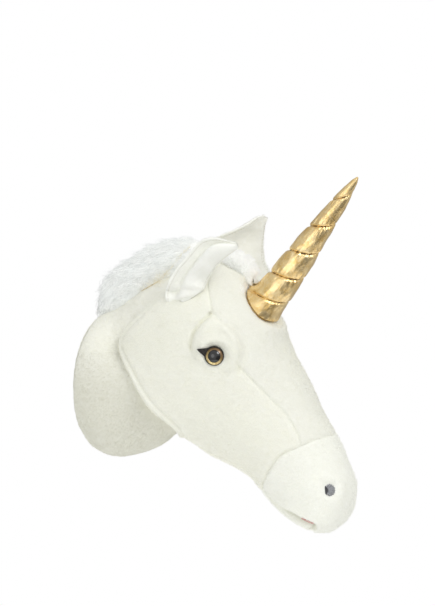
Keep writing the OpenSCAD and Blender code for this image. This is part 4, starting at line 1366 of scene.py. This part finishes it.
R_, D0, D1 = [], [], []
for k in range(NRT):
    p, d = seen_at(gx[k], gy[k], (neck_tree, head_tree, mane_tree))
    if p is None:
        continue
    a = (1.15 if w_[k] > 0.45 else 1.9) + rg.normal() * 0.35
    along = np.array(CAM_R) * math.cos(a) + np.array(CAM_U) * math.sin(a)
    R_.append(p - d * (2.0 + 4.0 * smooth(w_[k], 0.3, 0.6)))
    D0.append(along - d * 0.5)
    D1.append(along - d * 0.1)
R_, D0, D1 = np.array(R_), np.array(D0), np.array(D1)
V, F = strands(R_, D0, D1, rg.uniform(3.0, 6.5, len(R_)), rg.uniform(0.2, 0.34, len(R_)), 4, np.repeat(np.array(BACK)[None], len(R_), 0), 0.1, 735)
# tan strands: painted shade in the fold by the ear's root
o = mesh_obj("mane_hair_roots", V, F, fibre_mat("mane_roots_shade", (0.95, 0.91, 0.79), (0.88, 0.81, 0.63), 300, 0.7))
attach(o, "root")

# a few locks of the forelock lie round the back of the horn's root
rg = np.random.default_rng(741)
NRT = 380
tuft_tree = BVHTree.FromPolygons([Vector(p) for p in PT_.reshape(-1, 3)], [tuple(int(i) for i in f) for f in grid_faces(PT_.shape[0], PT_.shape[1], False)])
w_ = rg.uniform(0, 1, NRT)
gx = 243 + 9.0 * w_ + rg.normal(size=NRT) * 1.3
gy = 292 - 16 * w_ ** 1.4 + rg.normal(size=NRT) * 1.8
R_, D0, D1 = [], [], []
for k in range(NRT):
    p, d = seen_at(gx[k], gy[k], (head_tree, tuft_tree))
    if p is None:
        continue
    a = 1.25 + rg.normal() * 0.45 + 0.5 * (1 - w_[k])
    along = np.array(CAM_R) * math.cos(a) + np.array(CAM_U) * math.sin(a)
    R_.append(p - d * 0.6)
    D0.append(along - d * 0.8)
    D1.append(along - d * 0.15)
R_, D0, D1 = np.array(R_), np.array(D0), np.array(D1)
V, F = strands(R_, D0, D1, rg.uniform(4.0, 8.5, len(R_)), rg.uniform(0.28, 0.45, len(R_)), 5, np.repeat(np.array(BACK)[None], len(R_), 0), 0.1, 743)
o = mesh_obj("forelock_hair_low", V, F, M_TUFT_GLOW)
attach(o, "root")

# ---------------------------------------------------------------- short pile on the skin
# one short pile in lit and shaded copies: the neck's and the bridge's are darker (painted shade); the crest's is
# lighter than the neck's, and the muzzle's and ears' lighter than the head's (painted light)
M_PILE = fibre_mat("short_pile", (0.968, 0.962, 0.885), (0.938, 0.929, 0.851), 700, 0.8)
M_PILE_N_SHADED = fibre_mat("short_pile_neck_shaded", (0.79, 0.782, 0.694), (0.755, 0.745, 0.652), 700, 0.8)
M_PILE_M_LIT = fibre_mat("short_pile_crest_lit", (0.95, 0.945, 0.865), (0.89, 0.88, 0.80), 700, 0.8)
M_PILE_B_SHADED = fibre_mat("short_pile_bridge_shaded", (0.945, 0.94, 0.872), (0.92, 0.912, 0.838), 700, 0.8)
M_PILE_W_LIT = fibre_mat("short_pile_lit", (0.985, 0.985, 0.94), (0.94, 0.94, 0.89), 700, 0.8)
DENS = 0.75


def pile(name, P, N, keep, seed, length=2.0, width=0.29, mat=None, dens=None, nap=(0, 0.75, -0.55), blend=None, closed=True):
    R_, NR = sample(P, N, keep, DENS if dens is None else dens, seed, closed)
    rg = np.random.default_rng(seed + 900)
    n = len(R_)
    e = np.linalg.norm(near_side(R_, np.zeros(n))[0] - EYE, axis=1)
    o = np.linalg.norm(near_side(R_, np.zeros(n))[0] - NOSTRIL, axis=1)
    ok = (e > 11.5) & (o > 8.8)
    R_, NR = R_[ok], NR[ok]
    n = len(R_)
    nap = np.array(nap, float)
    t = nap - NR * (NR @ nap)[:, None]
    w = np.stack([vnoise(R_, 13, seed + 1), vnoise(R_, 13, seed + 2), vnoise(R_, 13, seed + 3)], -1)
    w2 = np.stack([vnoise(R_, 4.5, seed + 4), vnoise(R_, 4.5, seed + 5), vnoise(R_, 4.5, seed + 6)], -1)
    d1 = t + 0.26 * w + 0.16 * w2 + rg.normal(size=(n, 3)) * 0.12 + NR * 0.08
    ln = length * rg.uniform(0.6, 1.25, n)
    V, F = strands(R_ - NR * 0.15, NR * 0.8 + d1 * 0.4, d1, ln, width * rg.uniform(0.7, 1.2, n), 2, NR, 0.0, seed, 0.25, 0.3)
    V[:, 1] = np.minimum(V[:, 1], -0.2)
    ob = mesh_obj(name, V, F, mat or M_PILE)
    if blend:
        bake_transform(ob)
    else:
        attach(ob, "root")
    return ob


NH = grid_normals(PH)
if (NH[100:200] * (PH[100:200] - PH[100:200].mean((0, 1)))).sum(-1).mean() < 0:
    NH = -NH
NMz = grid_normals(PM)
if (NMz[:100] * (PM[:100] - PM[:100].mean((0, 1)))).sum(-1).mean() < 0:
    NMz = -NMz
under_horn = np.linalg.norm((PH - HORN_P) - ((PH - HORN_P) @ HORN_D)[..., None] * HORN_D - HY * 5, axis=-1) < 19.5
hk = ~(back_cut | muz | under_horn)
pile("pile_head_right", PH, NH, hk & right & ~bridge, 201)
pile("pile_head_left", PH, NH, hk & ~right & ~bridge, 202)
pile("pile_bridge", PH, NH, hk & bridge, 206, 2.0, 0.29, M_PILE_B_SHADED)
pile("pile_muzzle", PM, NMz, in_muz & ~slit, 203, 2.4, 0.34, M_PILE_W_LIT)
NNf = grid_normals(PNf)
if (NNf[40:60] * (PNf[40:60] - PNf[40:60].mean((0, 1)))).sum(-1).mean() < 0:
    NNf = -NNf
kn = (gapf > 0.5) & (-PNf[..., 1] > 2.5)
kn[-1] = False
crest = PNf[..., 2] > 42
pile("pile_neck_right", PNf, NNf, kn & rightn & ~crest, 204, 1.9, 0.28, M_PILE_N_SHADED)
pile("pile_neck_left", PNf, NNf, kn & ~rightn & ~crest, 205, 1.9, 0.28, M_PILE_N_SHADED)
pile("pile_neck_crest", PNf, NNf, kn & crest, 207, 2.0, 0.29, M_PILE_M_LIT)
for side, E, bl, sd in (("right", NE, ((-64, -133, 100), (-68, -142, 124)), 211), ("left", FE, ((54, -151, 112), (56, -150, 135)), 215)):
    allk = np.ones(E[0].shape[:2], bool)
    pile("pile_ear_in_" + side, E[0], E[2], allk, sd, 1.9, 0.3, M_PILE_W_LIT, None, (0, -0.5, 0.8), ("ear_" + side,) + bl, False)
    pile("pile_ear_out_" + side, E[1], -E[2], allk, sd + 1, 1.9, 0.3, M_PILE_W_LIT, None, (0, -0.5, 0.8), ("ear_" + side,) + bl, False)

# ---------------------------------------------------------------- hand stitches on the face
def place_on_head(s_, th_):
    i = int(np.argmin(np.abs(HS - s_)))
    j = int(np.argmin(np.abs(HTg[i] - th_)))
    return PH[i, j], NH[i, j]


L = []
for s_, th_, k0 in ((2.68, 147, 0),):
    p, n_ = place_on_head(s_, th_)
    t1 = np.cross(n_, [0, 0, 1.0])
    t1 /= np.linalg.norm(t1)
    t2 = np.cross(n_, t1)
    for a in ((0.3, 1.2, 2.4) if k0 == 0 else (0.8,)):
        w = np.linspace(-1, 1, 7)
        L.append(p + n_ * (0.9 - 0.5 * w ** 2)[:, None] + (math.cos(a) * t1 + math.sin(a) * t2) * (2.4 * w)[:, None])
V, F = tubes(L, 0.3, 6)
o = mesh_obj("brow_stitches", V, F, M_STITCH)
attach(o, "root")

# ---------------------------------------------------------------- the back: board, felt cover, staples, hanger
def cad_mat(names, mat):
    for n_ in names:
        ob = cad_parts[n_]
        ob.data.materials.clear()
        ob.data.materials.append(mat)


m, nt, b = new_mat("fibreboard")
v = coords(nt)
c = mix(nt, (0.36, 0.25, 0.14), (0.52, 0.38, 0.24), ramp(nt, noise(nt, coords(nt, (1, 1, 1)), 260, 5, 0.75), [(0.35, (0, 0, 0)), (0.65, (1, 1, 1))]))
nt.links.new(c, b.inputs["Base Color"])
b.inputs["Roughness"].default_value = 0.8
bump(nt, b, [(noise(nt, v, 900, 4, 0.7), 0.35, 0.0003)])
cad_mat(["back_board"], m)
m, nt, b = new_mat("zinc_steel")
v = coords(nt)
c = mix(nt, (0.55, 0.55, 0.54), (0.72, 0.72, 0.70), ramp(nt, noise(nt, v, 240, 4, 0.7), [(0.35, (0, 0, 0)), (0.65, (1, 1, 1))]))
nt.links.new(c, b.inputs["Base Color"])
b.inputs["Metallic"].default_value = 1.0
nt.links.new(ramp(nt, noise(nt, v, 90, 4, 0.7), [(0.3, (0.25, 0.25, 0.25)), (0.7, (0.45, 0.45, 0.45))]), b.inputs["Roughness"])
bump(nt, b, [(noise(nt, coords(nt, (1, 1, 6)), 400, 3, 0.6), 0.12, 0.0001)])
cad_mat(["hem_staples", "hanger_strap", "hanger_screws", "hanger_ring"], m)
m, nt, b = new_mat("washer_plastic")
v = coords(nt)
c = mix(nt, (0.72, 0.72, 0.70), (0.80, 0.80, 0.78), ramp(nt, noise(nt, v, 200, 3), [(0.3, (0, 0, 0)), (0.7, (1, 1, 1))]))
nt.links.new(c, b.inputs["Base Color"])
b.inputs["Roughness"].default_value = 0.45
bump(nt, b, [(noise(nt, v, 600, 2), 0.1, 0.0002)])
cad_mat(["eye_washer_left", "eye_washer_right"], m)
# felt cover: a soft disc with a window for the hanger
m, nt, b = new_mat("felt_cover")
v = coords(nt)
c = mix(nt, (0.70, 0.68, 0.60), (0.80, 0.78, 0.71), ramp(nt, noise(nt, v, 420, 4, 0.75, 0.8), [(0.35, (0, 0, 0)), (0.62, (1, 1, 1))]))
c = mix(nt, c, (0.62, 0.60, 0.53), ramp(nt, noise(nt, v, 1300, 3, 0.7, 1.0), [(0.55, (0, 0, 0)), (0.75, (0.5, 0.5, 0.5))]))
nt.links.new(c, b.inputs["Base Color"])
b.inputs["Roughness"].default_value = 0.95
b.inputs["Sheen Weight"].default_value = 0.2
bump(nt, b, [(noise(nt, v, 500, 4, 0.7, 0.6), 0.6, 0.0005), (noise(nt, v, 2200, 2, 0.7), 0.5, 0.0002)])
NB = 240
a = np.arange(NB) * 2 * math.pi / NB
outer = np.stack([71.8 * np.cos(a), 71.8 * np.sin(a)], -1)
dx, dz = np.cos(a), np.sin(a)
kx = 1 / np.maximum((np.abs(dx) / 17) ** 14 + (np.abs(dz) / 24) ** 14, 1e-30) ** (1 / 14)
inner = np.stack([kx * dx, 32 + kx * dz], -1)
rows = []
for f_, y in [(0, -1.42), (0.0, -0.25), (0.012, -0.06)] + [(k, -0.03) for k in np.linspace(0.03, 0.97, 20)] + [(0.988, -0.06), (1.0, -0.25), (1.0, -1.42)]:
    xy = inner * (1 - f_) + outer * f_
    yy = y - (0.03 + 0.03 * vnoise(np.stack([xy[:, 0], 0 * a, xy[:, 1]], -1), 4, 99))
    rows.append(np.stack([xy[:, 0], yy, xy[:, 1]], -1))
cov = np.array(rows)
F = grid_faces(len(cov), NB)
q = cov.reshape(-1, 3)[F[NB * 10]]
if np.cross(q[1] - q[0], q[2] - q[1])[1] < 0:
    F = flip(F)
cover = mesh_obj("back_cover_felt", cov.reshape(-1, 3), F, m)
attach(cover, "root")
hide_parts("back_cover")

# ---------------------------------------------------------------- floor
fa = np.linspace(0, 2 * math.pi, 97)[:-1]
floor = mesh_obj("floor", np.concatenate([[[0, 0, -640]], np.stack([850 * np.cos(fa), -150 + 850 * np.sin(fa), 0 * fa - 640], -1)]),
                 np.stack([np.zeros(96, int), np.arange(96) + 1, (np.arange(96) + 1) % 96 + 1], -1), None)
m, nt, b = new_mat("floor")
b.inputs["Base Color"].default_value = (0.97, 0.97, 0.97, 1)
b.inputs["Roughness"].default_value = 0.9
b.inputs["Emission Color"].default_value = (1, 1, 1, 1)
b.inputs["Emission Strength"].default_value = 0.28
floor.data.materials.append(m)
